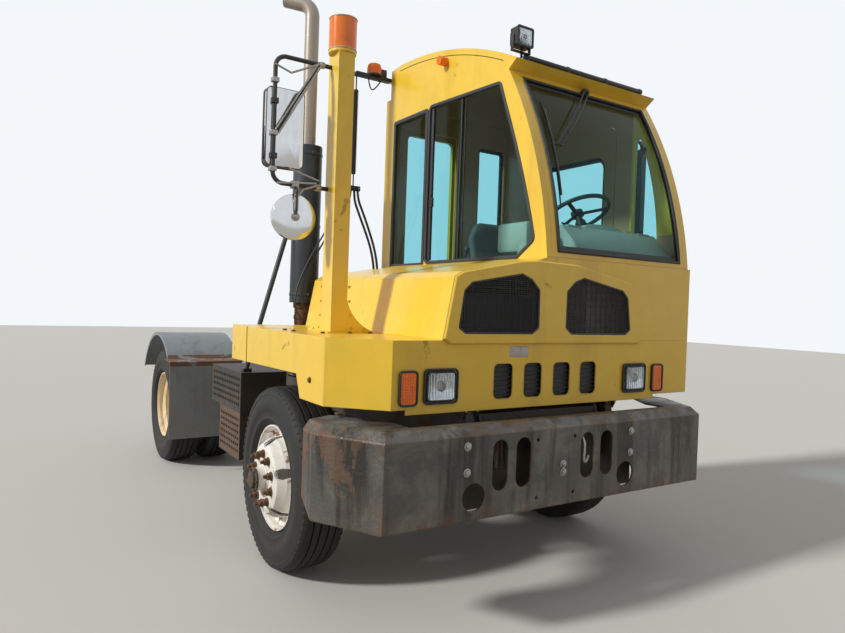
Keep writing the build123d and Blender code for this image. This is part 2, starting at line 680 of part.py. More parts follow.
def along_cylinder(solid):
    """From an upright cylinder at the origin to its place on the left."""
    return Pos(lift_cylinder_x, *barrel_foot) * Rot(cylinder_angle - 90, 0, 0) * solid


def lift_barrels():
    barrel = Pos(0, 0, 55) * Cylinder(cylinder_radius, cylinder_run - 215,
                                      align=(Align.CENTER, Align.CENTER, Align.MIN))
    eye = rod((-27, 0, 0), (27, 0, 0), 34) + span_box((-27, 27), (-28, 28), (0, 58))
    barrel += eye
    barrel -= Pos(0, 0, 70) * Cylinder(piston_radius + touch_gap, cylinder_run,
                                       align=(Align.CENTER, Align.CENTER, Align.MIN))
    barrel -= rod((-60, 0, 0), (60, 0, 0), 18 + touch_gap)
    placed = along_cylinder(barrel)
    return [placed, mirrored(placed)]


def lift_rods():
    bar = Pos(0, 0, piston_start) * Cylinder(piston_radius, cylinder_run - piston_start - 26,
                                             align=(Align.CENTER, Align.CENTER, Align.MIN))
    eye = rod((-27, 0, cylinder_run), (27, 0, cylinder_run), 32)
    eye -= rod((-60, 0, cylinder_run), (60, 0, cylinder_run), 20)
    placed = along_cylinder(bar + eye)
    return [placed, mirrored(placed)]


# cab profile

def arc_centre(start, end, sagitta, bulge):
    """Centre and radius of an arc from start to end; bulge is the side it bows to, +1 left of the run."""
    chord = math.dist(start, end)
    radius = chord ** 2 / (8 * sagitta) + sagitta / 2
    run = ((end[0] - start[0]) / chord, (end[1] - start[1]) / chord)
    left = (-run[1], run[0])
    middle = ((start[0] + end[0]) / 2, (start[1] + end[1]) / 2)
    back = -bulge * (radius - sagitta)
    return (middle[0] + left[0] * back, middle[1] + left[1] * back), radius


cowl = (body_front + 17.0, cowl_z)
shield_centre, shield_arc_radius = arc_centre(cowl, visor_foot, windshield_sagitta, 1)


def on_windshield(z, inset=0.0):
    """Station of the windshield's curve at a height."""
    radius = shield_arc_radius - inset
    return shield_centre[0] - math.sqrt(radius ** 2 - (z - shield_centre[1]) ** 2)


roof_centre, roof_arc_radius = arc_centre(visor_tip, roof_rear, roof_sagitta, 1)


def on_roof(y, inset=0.0):
    radius = roof_arc_radius - inset
    return roof_centre[1] + math.sqrt(radius ** 2 - (y - roof_centre[0]) ** 2)


def cab_profile(inset=0.0, with_visor=True, bottom=deck_top):
    """Side outline of the cab, drawn in by the wall's thickness where inset is given."""
    low_front = (body_front + sheet + inset, bottom)
    foot = (on_windshield(cowl_z, inset), cowl_z)
    head_z = visor_foot[1] - 0.3 * inset
    head = (on_windshield(head_z, inset), head_z)
    middle_z = (cowl_z + head_z) / 2
    middle = (on_windshield(middle_z, inset), middle_z)
    roof_start_y = visor_tip[0] if with_visor else head[0] + 0.45 * inset
    roof_start = (roof_start_y, on_roof(roof_start_y, inset))
    roof_end_y = min(roof_rear[0], notch_y - inset)
    roof_end = (roof_end_y, on_roof(roof_end_y, inset))
    roof_mid_y = (roof_start_y + roof_end_y) / 2
    roof_mid = (roof_mid_y, on_roof(roof_mid_y, inset))
    corner = (notch_y - inset, notch_top - inset)
    notch = (notch_y - inset, notch_foot - inset)
    shelf = (cab_rear - inset, notch_foot - inset)
    low_rear = (cab_rear - inset, bottom)
    edges = [Line(low_front, foot), ThreePointArc(foot, middle, head), Line(head, roof_start),
             ThreePointArc(roof_start, roof_mid, roof_end), Line(roof_end, corner), Line(corner, notch),
             Line(notch, shelf), Line(shelf, low_rear), Line(low_rear, low_front)]
    return make_face(edges)


roof_line = 2975.0


def cab_shell():
    outer = across(cab_profile(), cab_right, half_width)
    inner = across(cab_profile(cab_wall, False, deck_top - 10), cab_right + cab_wall, half_width - cab_wall)
    return outer - inner


right_window_front = ((664.0, 2908.0), (455.0, 2400.0), (310.0, 1940.0))


def right_window(grow=0.0):
    top_front, belly, low_front = right_window_front
    rear = 1430.0
    front = make_face([Line((rear + grow, 1853 - grow), (rear + grow, 2940 + grow)),
                       Line((rear + grow, 2940 + grow), (top_front[0] - grow, top_front[1] + grow)),
                       ThreePointArc((top_front[0] - grow, top_front[1] + grow), (belly[0] - grow, belly[1]),
                                     (low_front[0] - grow, low_front[1])),
                       Line((low_front[0] - grow, low_front[1]), (458 - grow, 1853 - grow)),
                       Line((458 - grow, 1853 - grow), (rear + grow, 1853 - grow))])
    return fillet(front.vertices(), 30 + grow)


def small_window(grow=0.0):
    return outline([(1460 - grow, 1840 - grow), (1905 + grow, 1840 - grow),
                    (1905 + grow, 2924 + grow), (1460 - grow, 2924 + grow)], 12 + grow)


def quarter_window(grow=0.0):
    return fillet(make_face([
        Line((420 - grow, 1900 - grow), (640 + grow, 1900 - grow)),
        Line((640 + grow, 1900 - grow), (640 + grow, 2760 + grow)),
        Line((640 + grow, 2760 + grow), (590 - grow, 2760 + grow)),
        ThreePointArc((590 - grow, 2760 + grow), (460 - grow, 2350), (420 - grow, 1900 - grow))]).vertices(),
        14 + grow)


def rear_window(grow=0.0):
    return outline([(870 - grow, 1850 - grow), (1150 + grow, 1850 - grow),
                    (1150 + grow, 2900 + grow), (870 - grow, 2900 + grow)], 40 + grow)


def left_doorway(grow=0.0):
    return outline([(left_door_front - grow, left_door_bottom - grow),
                    (left_door_rear + grow, left_door_bottom - grow),
                    (left_door_rear + grow, left_door_top + grow),
                    (left_door_front - grow, left_door_top + grow)], 60 + grow)


def left_door_window(grow=0.0):
    return outline([(900 - grow, 1900 - grow), (1590 + grow, 1900 - grow), (1590 + grow, 2690 + grow),
                    (900 - grow, 2690 + grow)], 90 + grow)


def cab_panels():
    """The shell split where the real panels meet."""
    shell = cab_shell()
    big = 4000.0
    right = shell & span_box((-big, cab_right + cab_wall), (0, big), (0, big))
    left = shell & span_box((half_width - cab_wall, big), (0, big), (0, big))
    middle = shell & span_box((cab_right + cab_wall, half_width - cab_wall), (0, big), (0, big))
    roof = middle & span_box((-big, big), (0, big), (roof_line, big))
    lower = middle & span_box((-big, big), (0, big), (0, roof_line))
    front = lower & span_box((-big, big), (0, 1000), (0, big))
    rear = lower & span_box((-big, big), (1000, big), (0, big))
    right -= span_box((-50, 50), (body_front + 47, deck_rear - 60), (deck_top - 10, tunnel_top - 10))
    right -= across(right_window(), -50, 50)
    right -= across(small_window(), -50, 50)
    left -= across(quarter_window(), half_width - 60, half_width + 20)
    left -= across(left_doorway(door_gap), half_width - 60, half_width + 20)
    left += left_hinge_leaves()
    opening = span_box((cab_right + pillar, half_width - pillar), (0, 900), (1880, 2925))
    front -= opening
    rear -= lengthwise(rear_window(), cab_rear - 60, cab_rear + 20)
    doorway = (rear_door[0] + 25, rear_door[1] - 25)
    rear -= span_box(doorway, (cab_rear - 60, cab_rear + 20), (rear_door_bottom + 20, roof_line - 35))
    rear += span_box((rear_door[0] - 20, rear_door[1] + rear_door_travel + 10),
                     (cab_rear, rear_door_y + rear_door_thick + 4),
                     (rear_door_bottom - 26, rear_door_bottom - touch_gap))
    return right, left, roof, front, rear


grille_outline = [(-703, 1392), (-660, 1365), (726, 1365), (770, 1390), (715, 1690), (631, 1729), (192, 1809),
                  (-102, 1815), (-221, 1805), (-597, 1730), (-645, 1703)]
mesh_window = [(-621, 1446), (-577, 1418), (-132, 1418), (-85, 1452), (-87, 1657), (-147, 1713), (-218, 1739),
               (-545, 1680), (-593, 1636)]
hood_section = [(-700, deck_top), (-640, 1700), (-597, 1730), (-220, 1805), (-100, 1815), (cab_right, cowl_z),
                (cab_right, deck_top)]
window_shift = 24.0                # the left mesh window mirrors the right about this middle


def mesh_windows(grow=0.0):
    right = outline(mesh_window, 14)
    if grow:
        right = offset(right, grow)
    left = Pos(window_shift, 0) * mirror(right, Plane.YZ)
    return right, left


def grille_panel():
    proud = 20.0
    panel = lengthwise(outline(grille_outline), body_front - proud, body_front)
    panel = chamfer(panel.faces().sort_by(Axis.Y)[0].edges(), 8)
    bars = None
    for face in mesh_windows():
        panel -= lengthwise(face, body_front - proud - 5, body_front + 5)
    pitch = 44.0
    wire = 3.0
    for face in mesh_windows():
        field = lengthwise(face, body_front - 10, body_front - 7)
        low = field.bounding_box().min
        high = field.bounding_box().max
        count_x = int((high.X - low.X) / pitch)
        count_z = int((high.Z - low.Z) / pitch)
        grid = None
        for index in range(1, count_x + 1):
            x = low.X + index * (high.X - low.X) / (count_x + 1)
            bar = span_box((x - wire / 2, x + wire / 2), (0, 500), (low.Z - 5, high.Z + 5)) & field
            grid = bar if grid is None else grid + bar
        for index in range(1, count_z + 1):
            z = low.Z + index * (high.Z - low.Z) / (count_z + 1)
            grid += span_box((low.X - 5, high.X + 5), (0, 500), (z - wire / 2, z + wire / 2)) & field
        bars = grid if bars is None else bars + grid
    return panel + bars


slot_columns = (-308.0, -102.0, 110.0, 318.0)
headlamp_x = (-705.0, 708.0)
marker_x = (-892.0, 921.0)


def cab_deck():
    """Front skirt, right corner, side skirts and deck: one open-bottomed shell of sheet metal."""
    def plan(inset):
        face = outline([(-corner_x, body_front), (half_width, body_front), (half_width, deck_rear),
                        (-half_width + 4, deck_rear), (-half_width + 4, corner_y)])
        return offset(face, -inset, kind=Kind.INTERSECTION) if inset else face

    shell = upward(plan(0), body_bottom, deck_top)
    shell -= upward(plan(sheet), body_bottom - 1, deck_top - sheet)
    lip = span_box((-bumper_opening + 25, bumper_opening - 25), (body_front, body_front + sheet),
                   (body_bottom - body_lip, body_bottom + 1))
    shell += lip
    shell -= across(outline([(skirt_low_end, body_bottom - 40), (arch_front, arch_z), (deck_rear + 5, arch_rear_z),
                             (deck_rear + 5, body_bottom - 40)]), -2000, 2000)
    # room for the engine under hood and tunnel, and the cab's floor
    shell -= span_box((-660, half_width - cab_wall), (body_front + sheet, deck_rear - sheet),
                      (deck_top - sheet - 1, deck_top + 1))
    shell -= span_box((-660, tunnel_x - 10), (deck_rear - 3 * sheet, deck_rear + 5), (body_bottom, deck_top - 60))
    shell -= span_box((tunnel_x - 10, half_width - cab_wall), (deck_rear - 3 * sheet, deck_rear + 5),
                      (deck_top - floor_thick, deck_top + 1))
    for x in slot_columns:
        shell -= lengthwise(Pos(x, 1172) * RectangleRounded(128, 185, 30), body_front - 5, body_front + 20)
    for x in headlamp_x:
        shell -= lengthwise(Pos(x, 1160) * RectangleRounded(184, 156, 24), body_front - 5, body_front + 20)
    for x in marker_x:
        shell -= lengthwise(Pos(x, 1155) * RectangleRounded(84, 150, 14), body_front - 5, body_front + 20)
    for centre in lug_centres:
        for side in (-1, 1):
            inner_face = centre + side * (26 + 2)
            outer_face = inner_face + side * ear_thickness
            ear = across(outline([(body_front + sheet - 2, body_bottom + 40), (tilt_y + 40, body_bottom + 40),
                                  (tilt_y + 24, tilt_z - 24), (tilt_y - 24, tilt_z - 24),
                                  (body_front + sheet - 2, body_bottom - body_lip)], 3),
                         *sorted((inner_face, outer_face)))
            shell += ear
        shell += rod((centre - 48, tilt_y, tilt_z), (centre + 48, tilt_y, tilt_z), 15)
    return shell


def hood():
    section = outline(hood_section)
    inner = offset(section, -sheet, kind=Kind.INTERSECTION)
    cover = lengthwise(section, body_front + sheet, deck_rear)
    cover -= lengthwise(inner, body_front + sheet - 1, deck_rear - sheet)
    cover -= span_box((-700 + sheet, cab_right - sheet), (0, deck_rear - sheet),
                      (deck_top - 20, deck_top + sheet + 1))
    # side towards the cab opens into the engine tunnel
    cover -= span_box((cab_right - 2 * sheet, cab_right + 1), (body_front + 40, deck_rear - 60),
                      (deck_top - 10, tunnel_top - 10))
    return cover


def cab_front(panel):
    """Windshield frame and the plate below it, which also closes the hood's front."""
    plate = lengthwise(outline(hood_section[:-2] + [(cab_right, cowl_z), (half_width, cowl_z),
                                                    (half_width, deck_top)]),
                       body_front, body_front + sheet)
    right, left = mesh_windows(6)
    for face in (right, left):
        plate -= lengthwise(face, body_front - 5, body_front + 20)
    frame = panel & span_box((-4000, 4000), (0, 1000), (cowl_z, 4000))
    return frame + plate + span_box((cab_right + cab_wall, half_width - cab_wall), (body_front, cowl[0] + cab_wall),
                                    (cowl_z - sheet, cowl_z))


def cab_floor():
    """Floor with the engine tunnel on its right."""
    wall = 10.0
    plate = span_box((tunnel_x, half_width - cab_wall), (body_front + sheet + 2, cab_rear - cab_wall),
                     (deck_top - floor_thick, deck_top))
    plate += span_box((tunnel_x, tunnel_x + wall), (body_front + sheet + 2, cab_rear - cab_wall),
                      (deck_top - 1, tunnel_top))
    plate += span_box((cab_right + cab_wall, tunnel_x + wall), (body_front + sheet + 2, cab_rear - cab_wall),
                      (tunnel_top - wall, tunnel_top))
    plate += span_box((cab_right + cab_wall, tunnel_x + wall), (deck_rear - 60, cab_rear - cab_wall),
                      (deck_top, deck_top + wall))
    return plate


def cab_glass():
    panes = []
    depth = glass_inset
    windshield = Circle(shield_arc_radius - depth) - Circle(shield_arc_radius - depth - glass)
    windshield = across(Pos(*shield_centre) * windshield, cab_right + pillar, half_width - pillar)
    windshield &= span_box((-4000, 4000), (0, 1000), (1880, 2925))
    panes.append(windshield)
    for window in (right_window(), small_window()):
        panes.append(across(window, cab_right + depth, cab_right + depth + glass))
    panes.append(across(quarter_window(), half_width - depth - glass, half_width - depth))
    panes.append(lengthwise(rear_window(), cab_rear - depth - glass, cab_rear - depth))
    return panes


hinge_heights = (1600.0, 2450.0)
hinge_radius = 9.0


def left_hinge_leaves():
    """Upper and lower knuckles of each hinge, on the wall in front of the door."""
    leaves = None
    for z in hinge_heights:
        for low in (z - 40 - touch_gap - 34, z + 40 + touch_gap):
            leaf = rod((left_hinge_x, left_door_front, low), (left_hinge_x, left_door_front, low + 34), hinge_radius)
            leaf += span_box((half_width, left_hinge_x), (left_door_front - 60, left_door_front - 4), (low, low + 34))
            leaves = leaf if leaves is None else leaves + leaf
    return leaves


def left_door():
    door = across(left_doorway(), half_width - cab_wall, half_width)
    door -= across(left_door_window(), half_width - 60, half_width + 20)
    for z in hinge_heights:
        door += rod((left_hinge_x, left_door_front, z - 40), (left_hinge_x, left_door_front, z + 40), hinge_radius)
        door += span_box((half_width - 1, left_hinge_x), (left_door_front, left_door_front + 60), (z - 40, z + 40))
    door += span_box((half_width - 1, half_width + 30), (left_door_rear - 110, left_door_rear - 60), (1690, 1740))
    return door


def left_door_glass():
    return across(left_door_window(), half_width - glass_inset - glass, half_width - glass_inset)


def rear_door_panel():
    x0, x1 = rear_door
    door = span_box((x0, x1), (rear_door_y, rear_door_y + rear_door_thick), (rear_door_bottom, rear_door_top))
    door -= lengthwise(rear_door_window(), rear_door_y - 10, rear_door_y + rear_door_thick + 10)
    face_y = rear_door_y + rear_door_thick
    door += rod((x0 + 50, face_y + 24, 1950), (x0 + 50, face_y + 24, 2150), 10)
    for z in (1960.0, 2140.0):
        door += span_box((x0 + 42, x0 + 58), (face_y - 1, face_y + 24), (z - 8, z + 8))
    return door


def rear_door_window():
    x0, x1 = rear_door
    return outline([(x0 + 115, 1850), (x1 - 50, 1850), (x1 - 50, 2900), (x0 + 115, 2900)], 40)


def rear_door_glass():
    return lengthwise(rear_door_window(), rear_door_y + glass_inset, rear_door_y + glass_inset + glass)


dash_top = 2070.0


def dash():
    body = across(outline([(on_windshield(1880, 60) + 6, 1752), (on_windshield(1880, 60) + 6, 1900),
                           (440, dash_top), (620, dash_top - 10), (700, 1900), (520, 1752)], 12),
                  tunnel_x + 20, half_width - cab_wall - 10)
    pad = across(outline([(on_windshield(1880, 60) + 6, 1752), (on_windshield(1880, 60) + 6, 1900),
                          (480, 1940), (560, 1752)], 12),
                 cab_right + cab_wall + 10, tunnel_x + 20)
    leg = span_box((tunnel_x + 10, half_width - cab_wall), (330, 420), (deck_top, 1753))
    return body + pad + leg


wheel_centre = (760.0, 745.0, 2205.0)
wheel_tilt = -28.0


def steering_wheel():
    radius = 215.0
    ring = Torus(radius, 14)
    hub = Cylinder(42, 36)
    spokes = None
    for index in range(3):
        spoke = Rot(0, 0, 120 * index + 90) * Pos(radius / 2, 0, 0) * Box(radius, 26, 10)
        spokes = spoke if spokes is None else spokes + spoke
    column = Pos(0, 0, -360) * Cylinder(24, 360, align=(Align.CENTER, Align.CENTER, Align.MIN))
    wheel = Pos(*wheel_centre) * Rot(wheel_tilt, 0, 0) * (ring + hub + spokes + column)
    return (wheel - dash()).solids().sort_by(Axis.Z)[-1]


def seat():
    centre = 740.0
    cushion = span_box((centre - 240, centre + 240), (1120, 1580), (1780, 1890))
    cushion = fillet(cushion.edges(), 30)
    back = across(outline([(1540, 1850), (1640, 1850), (1690, 2230), (1610, 2230)], 28), centre - 230, centre + 230)
    base = span_box((centre - 170, centre + 170), (1180, 1560), (deck_top, 1781))
    return cushion + back + base


def mirror_post():
    x0, x1 = post_x
    y0, y1 = post_y
    tube = span_box(post_x, post_y, (deck_top, post_top))
    inner = x1 + 163
    x2 = x1 - 2
    curve_x = make_face([Line((x2, deck_top), (inner, deck_top)), Line((inner, deck_top), (inner, deck_top + 12)),
                         ThreePointArc((inner, deck_top + 12), (x1 + 45, deck_top + 95),
                                       (x2, deck_top + gusset_rise)),
                         Line((x2, deck_top + gusset_rise), (x2, deck_top))])
    tube += lengthwise(curve_x, y0 + gusset_step, y0 + gusset_step + 8)
    rear = y1 + 187
    y2 = y1 - 2
    curve_y = make_face([Line((y2, deck_top), (rear, deck_top)), Line((rear, deck_top), (rear, deck_top + 12)),
                         ThreePointArc((rear, deck_top + 12), (y1 + 52, deck_top + 95),
                                       (y2, deck_top + gusset_rise)),
                         Line((y2, deck_top + gusset_rise), (y2, deck_top))])
    tube += across(curve_y, x0 + gusset_step, x0 + gusset_step + 8)
    tube += span_box((x0 - 30, x1 + 30), (y0 - 30, y1 + 30), (deck_top, deck_top + 8))
    middle_x, middle_y = (x0 + x1) / 2, (y0 + y1) / 2
    tube += rod((middle_x, middle_y, post_top - 1), (middle_x, middle_y, post_top + 14), cap_radius)
    return tube


hanger = (-300.0, 2018.0)          # x and y of the sprung hanger under the beacon's bracket
hanger_runs = ((3262.0, 3150.0, 5.0), (3151.0, 2520.0, 15.0), (2521.0, 2430.0, 5.0))    # top, foot, radius
hanger_clamp = (2396.0, 2431.0)
hose_runs = (  # radius, then the points from the clamp to the fitting, x, y, z
    (9.0, ((-262, 2018, 2404), (-250, 2018, 2325), (-205, 2015, 2228), (-160, 2008, 2115), (-122, 1995, 2000),
           (-100, 1978, 1885), (-96, 1962, 1770), (-102, 1950, 1672), (-107, 1928, 1606), (-111, 1877, 1549))),
    (9.0, ((-290, 2018, 2404), (-284, 2016, 2318), (-243, 2010, 2216), (-194, 2001, 2100), (-154, 1987, 1985),
           (-133, 1970, 1870), (-130, 1955, 1760), (-138, 1943, 1668), (-146, 1924, 1604), (-151, 1877, 1550))),
    (6.0, ((-338, 2018, 2404), (-362, 2004, 2328), (-440, 1975, 2218), (-535, 1955, 2075), (-632, 1945, 1915),
           (-708, 1940, 1765), (-756, 1935, 1640), (-772, 1928, 1535), (-747, 1922, 1455), (-692, 1914, 1402),
           (-640, 1904, 1372), (-580, 1876, 1342))),
    (6.0, ((-314, 2018, 2404), (-328, 2006, 2332), (-400, 1976, 2224), (-498, 1955, 2080), (-596, 1944, 1920),
           (-672, 1938, 1775), (-718, 1932, 1655), (-729, 1925, 1565), (-702, 1918, 1493), (-646, 1912, 1438),
           (-598, 1903, 1394), (-540, 1876, 1331))),
)


def hose_hanger():
    """Spring in its sleeve with a clamp below, hung from the bracket."""
    x, y = hanger
    piece = None
    for top, foot, radius in hanger_runs:
        length = rod((x, y, foot), (x, y, top), radius)
        piece = length if piece is None else piece + length
    low, high = hanger_clamp
    return piece + span_box((x - 55, x + 55), (y - 14, y + 14), (low, high))


def air_hoses():
    """Each bend is as wide as the runs beside it allow."""
    low, high = hanger_clamp
    clamp_room = span_box((hanger[0] - 90, hanger[0] + 90), (hanger[1] - 50, hanger[1] + 50), (low - touch_gap, high))
    wall_room = span_box((-700, 0), (deck_rear - 60, deck_rear + touch_gap), (1250, 1650))
    hoses = []
    for radius, points in hose_runs:
        places = [Vector(*point) for point in points]
        bends = []
        for before, here, after in zip(places, places[1:], places[2:]):
            first, second = here - before, after - here
            turn = math.radians(first.get_angle(second))
            bends.append(0.45 * min(first.length, second.length) / math.tan(turn / 2))
        whole = tube_along(points, radius, bends)
        hoses.append(whole - clamp_room - wall_room)
        print("hose", radius, "length", round(hoses[-1].volume / (math.pi * radius ** 2)),
              "smallest bend", round(min(bends)))
    return hoses


mirror_y = 926.0
left_mirror_y = 672.0
mirror_tube = 12.0
mirror_stand = 14.0                # from the loop's middle to the head behind it
mirror_depth = 48.0
right_loop = (48.0 - mirror_reach, 2180.0, 2854.0)      # outer run's x, lower run's z, upper run's z
left_loop = (mirror_reach - 70.0, 2040.0, 2760.0)
right_head_width = 215.0
round_mirror = (-1197.0, 2005.0)


def mirror_head(x0, x1, z0, z1, y, loop_x, clamp_zs):
    """A head that stands behind its loop and hangs on two clamps."""
    front = y + mirror_stand
    head = lengthwise(outline([(x0, z0), (x1, z0), (x1, z1), (x0, z1)], 30), front, front + mirror_depth)
    for z in clamp_zs:
        head += span_box((loop_x - 18, loop_x + 18), (y - 16, front + 2), (z - 14, z + 14))
    return head


def mirrors():
    outer_x, low_z, high_z = right_loop
    post_side = post_x[0]
    right = tube_along([(post_side - 0.1, mirror_y, high_z), (outer_x, mirror_y, high_z), (outer_x, mirror_y, low_z),
                        (post_side - 0.1, mirror_y, low_z)], mirror_tube, 60)
    head_x = 10 - mirror_reach
    right += mirror_head(head_x, head_x + right_head_width, 2268, 2690, mirror_y, outer_x, (2320.0, 2610.0))
    right += rod((post_side - 78, mirror_y - 4, high_z - 4), (outer_x, mirror_y - 4, 2430), 8)
    x, z = round_mirror
    arm_y = mirror_y - 36
    right += tube_along([(x, mirror_y, low_z), (x, arm_y, low_z - 36), (x, arm_y, z), (x, mirror_y - 10, z)], 8, 12)
    disc = rod((x, mirror_y - 18, z), (x, mirror_y + 14, z), 120)
    right += fillet(disc.edges().filter_by(GeomType.CIRCLE).sort_by(Axis.Y)[0], 22)
    outer_x, low_z, high_z = left_loop
    wall_x = half_width + 0.1
    left = tube_along([(wall_x, left_mirror_y, high_z), (outer_x, left_mirror_y, high_z),
                       (outer_x, left_mirror_y, low_z), (wall_x, left_mirror_y, low_z)], mirror_tube, 35)
    left += mirror_head(half_width + 5, mirror_reach, 2100, 2710, left_mirror_y, outer_x, (2200.0, 2600.0))
    return [right, left]


def headlamps():
    lamps = []
    for x in headlamp_x:
        can = lengthwise(Pos(x, 1160) * RectangleRounded(184, 156, 24), body_front - 4, body_front + 60)
        lamps.append(can)
    work = lengthwise(Pos(28, 3142) * RectangleRounded(120, 112, 10), 500, 560)
    work += rod((40, 540, on_roof(548)), (40, 540, 3095), 8)
    lamps.append(work)
    return lamps


def amber_lamps():
    lamps = []
    for x in marker_x:
        lamps.append(lengthwise(Pos(x, 1155) * RectangleRounded(84, 150, 14), body_front - 10, body_front + 20))
    post_mid_x = (post_x[0] + post_x[1]) / 2
    post_mid_y = (post_y[0] + post_y[1]) / 2
    cap = rod((post_mid_x, post_mid_y, post_top + 14), (post_mid_x, post_mid_y, cap_top), cap_radius)
    lamps.append(fillet(cap.edges().filter_by(GeomType.CIRCLE).sort_by(Axis.Z)[-1], 10))
    side = rod((cab_right - 60, 1250, 3200), (cab_right, 1250, 3200), 30)
    lamps.append(side)
    beacon = rod((-156, 2010, 3280), (-156, 2010, 3370), 52)
    lamps.append(fillet(beacon.edges().filter_by(GeomType.CIRCLE).sort_by(Axis.Z)[-1], 18))
    return lamps


def cab_roof(panel):
    bar = rod((75, 548, on_roof(548) + 12), (1110, 548, on_roof(548) + 12), 14)
    bracket = span_box((-312, 130), (notch_y, 2045), (3262, 3280))
    runner = span_box((cab_right + cab_wall, rear_door[1] + rear_door_travel + 10),
                      (cab_rear, rear_door_y + rear_door_thick + 4), (rear_door_top + touch_gap, notch_foot - 8))
    return panel + bar + bracket + runner


def off_windshield(z, out):
    """(Y, Z) of a point that lies outside the windshield's curve, straight out from it at height z."""
    y = on_windshield(z)
    run = (y - shield_centre[0], z - shield_centre[1])
    scale = 1 + out / shield_arc_radius
    return shield_centre[0] + run[0] * scale, shield_centre[1] + run[1] * scale


def wiper():
    arms = rod((575, *off_windshield(2935, 24)), (420, *off_windshield(2560, 22)), 6)
    arms += rod((602, *off_windshield(2935, 24)), (440, *off_windshield(2560, 22)), 5)
    blade = rod((395, *off_windshield(2760, 16)), (417, *off_windshield(2530, 18)), 8)
    blade += rod((417, *off_windshield(2530, 18)), (440, *off_windshield(2300, 14)), 8)
    motor = rod((588, *off_windshield(2935, touch_gap)), (588, *off_windshield(2935, 30)), 28)
    return arms + blade + motor


right_wall, left_wall, roof_panel, front_panel, rear_wall = cab_panels()

nodes = {
    "frame_rails": frame_rails(),
    "bumper": bumper(),
    "engine_block": engine_block(),
    "driveline": driveline(),
    "radiator": radiator(),
    "front_axle": front_axle(),
    "rear_axle": rear_axle(),
    "air_tanks": air_tanks(),
    "fuel_tank": fuel_tank(),
    "step_box": step_box(),
    "exhaust_stack": exhaust_stack(),
    "rear_fenders": rear_fenders(),
    "tail_lamps": tail_lamps(),
    "deck_plate": deck_plate(),
    "boom": boom(),
    "fifth_wheel": fifth_wheel(),
    "lift_barrels": lift_barrels(),
    "lift_rods": lift_rods(),
    "cab_deck": cab_deck(),
    "hood": hood(),
    "grille_panel": grille_panel(),
    "cab_front": cab_front(front_panel),
    "cab_floor": cab_floor(),
    "cab_right_wall": right_wall,
    "cab_left_wall": left_wall,
    "cab_rear_wall": rear_wall,
    "cab_roof": cab_roof(roof_panel),
    "cab_glass": cab_glass(),
    "left_door": left_door(),
    "left_door_glass": left_door_glass(),
    "rear_door": rear_door_panel(),
    "rear_door_glass": rear_door_glass(),
    "dash": dash(),
    "steering_wheel": steering_wheel(),
    "seat": seat(),
    "mirror_post": mirror_post(),
    "mirrors": mirrors(),
    "hose_hanger": hose_hanger(),
    "air_hoses": air_hoses(),
    "headlamps": headlamps(),
    "amber_lamps": amber_lamps(),
    "wiper": wiper(),
}
for word, side in (("left", 1), ("right", -1)):
    nodes["knuckle_" + word] = knuckle(side)
    nodes["front_wheel_" + word] = front_wheel(side)
    nodes["front_tyre_" + word] = tyre(side * front_track_half, front_axle_y)
    nodes["rear_wheels_" + word] = rear_wheels(side)
    nodes["rear_tyres_" + word] = [tyre(side * x, rear_axle_y) for x in (rear_inner_half, rear_outer_half)]

os.makedirs("parts", exist_ok=True)
for name, shape in nodes.items():
    pieces = shape if isinstance(shape, list) else [shape]
    solids = [solid for piece in pieces for solid in piece.solids()]
    moved = [Pos(0, -overall_length / 2, 0) * solid for solid in solids]
    export_step(moved[0] if len(moved) == 1 else Compound(children=moved), f"parts/{name}.step")
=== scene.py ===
import bpy
import json
import math
from mathutils import Matrix, Vector

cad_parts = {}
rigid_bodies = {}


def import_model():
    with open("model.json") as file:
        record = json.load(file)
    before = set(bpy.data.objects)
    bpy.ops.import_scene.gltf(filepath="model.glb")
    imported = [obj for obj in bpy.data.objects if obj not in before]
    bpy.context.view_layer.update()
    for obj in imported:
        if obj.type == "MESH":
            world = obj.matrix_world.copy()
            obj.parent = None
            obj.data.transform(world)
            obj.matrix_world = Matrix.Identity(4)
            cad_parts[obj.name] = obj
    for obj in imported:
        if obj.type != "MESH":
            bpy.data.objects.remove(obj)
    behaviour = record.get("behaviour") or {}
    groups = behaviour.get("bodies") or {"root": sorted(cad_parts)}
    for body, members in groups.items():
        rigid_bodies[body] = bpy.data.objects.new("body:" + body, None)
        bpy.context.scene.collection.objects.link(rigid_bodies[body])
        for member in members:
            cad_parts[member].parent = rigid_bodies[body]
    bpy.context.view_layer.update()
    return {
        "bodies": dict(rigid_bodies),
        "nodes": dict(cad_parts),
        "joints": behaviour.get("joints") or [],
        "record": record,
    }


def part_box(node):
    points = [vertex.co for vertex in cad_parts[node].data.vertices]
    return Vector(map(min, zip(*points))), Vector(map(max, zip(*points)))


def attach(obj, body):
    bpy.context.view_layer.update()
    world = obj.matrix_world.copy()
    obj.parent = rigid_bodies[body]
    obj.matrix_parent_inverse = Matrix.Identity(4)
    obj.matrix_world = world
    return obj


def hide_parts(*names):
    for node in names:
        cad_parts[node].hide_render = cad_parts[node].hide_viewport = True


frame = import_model()
nodes = frame["nodes"]
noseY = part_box("bumper")[0].y           # places below are measured rearward from the bumper's face


def at(x, y, z):
    return Vector((x, noseY + y, z))


# camera

camera = {
    "eye": (-2.5472, -2.4904, 1.5552),
    "yaw": 32.8367,
    "pitch": -1.0029,
    "roll": -1.9969,
    "focalPixels": 663.4632,
    "pictureWidth": 845,
    "sensorWidth": 36.0,
    "farthest": 200,
}


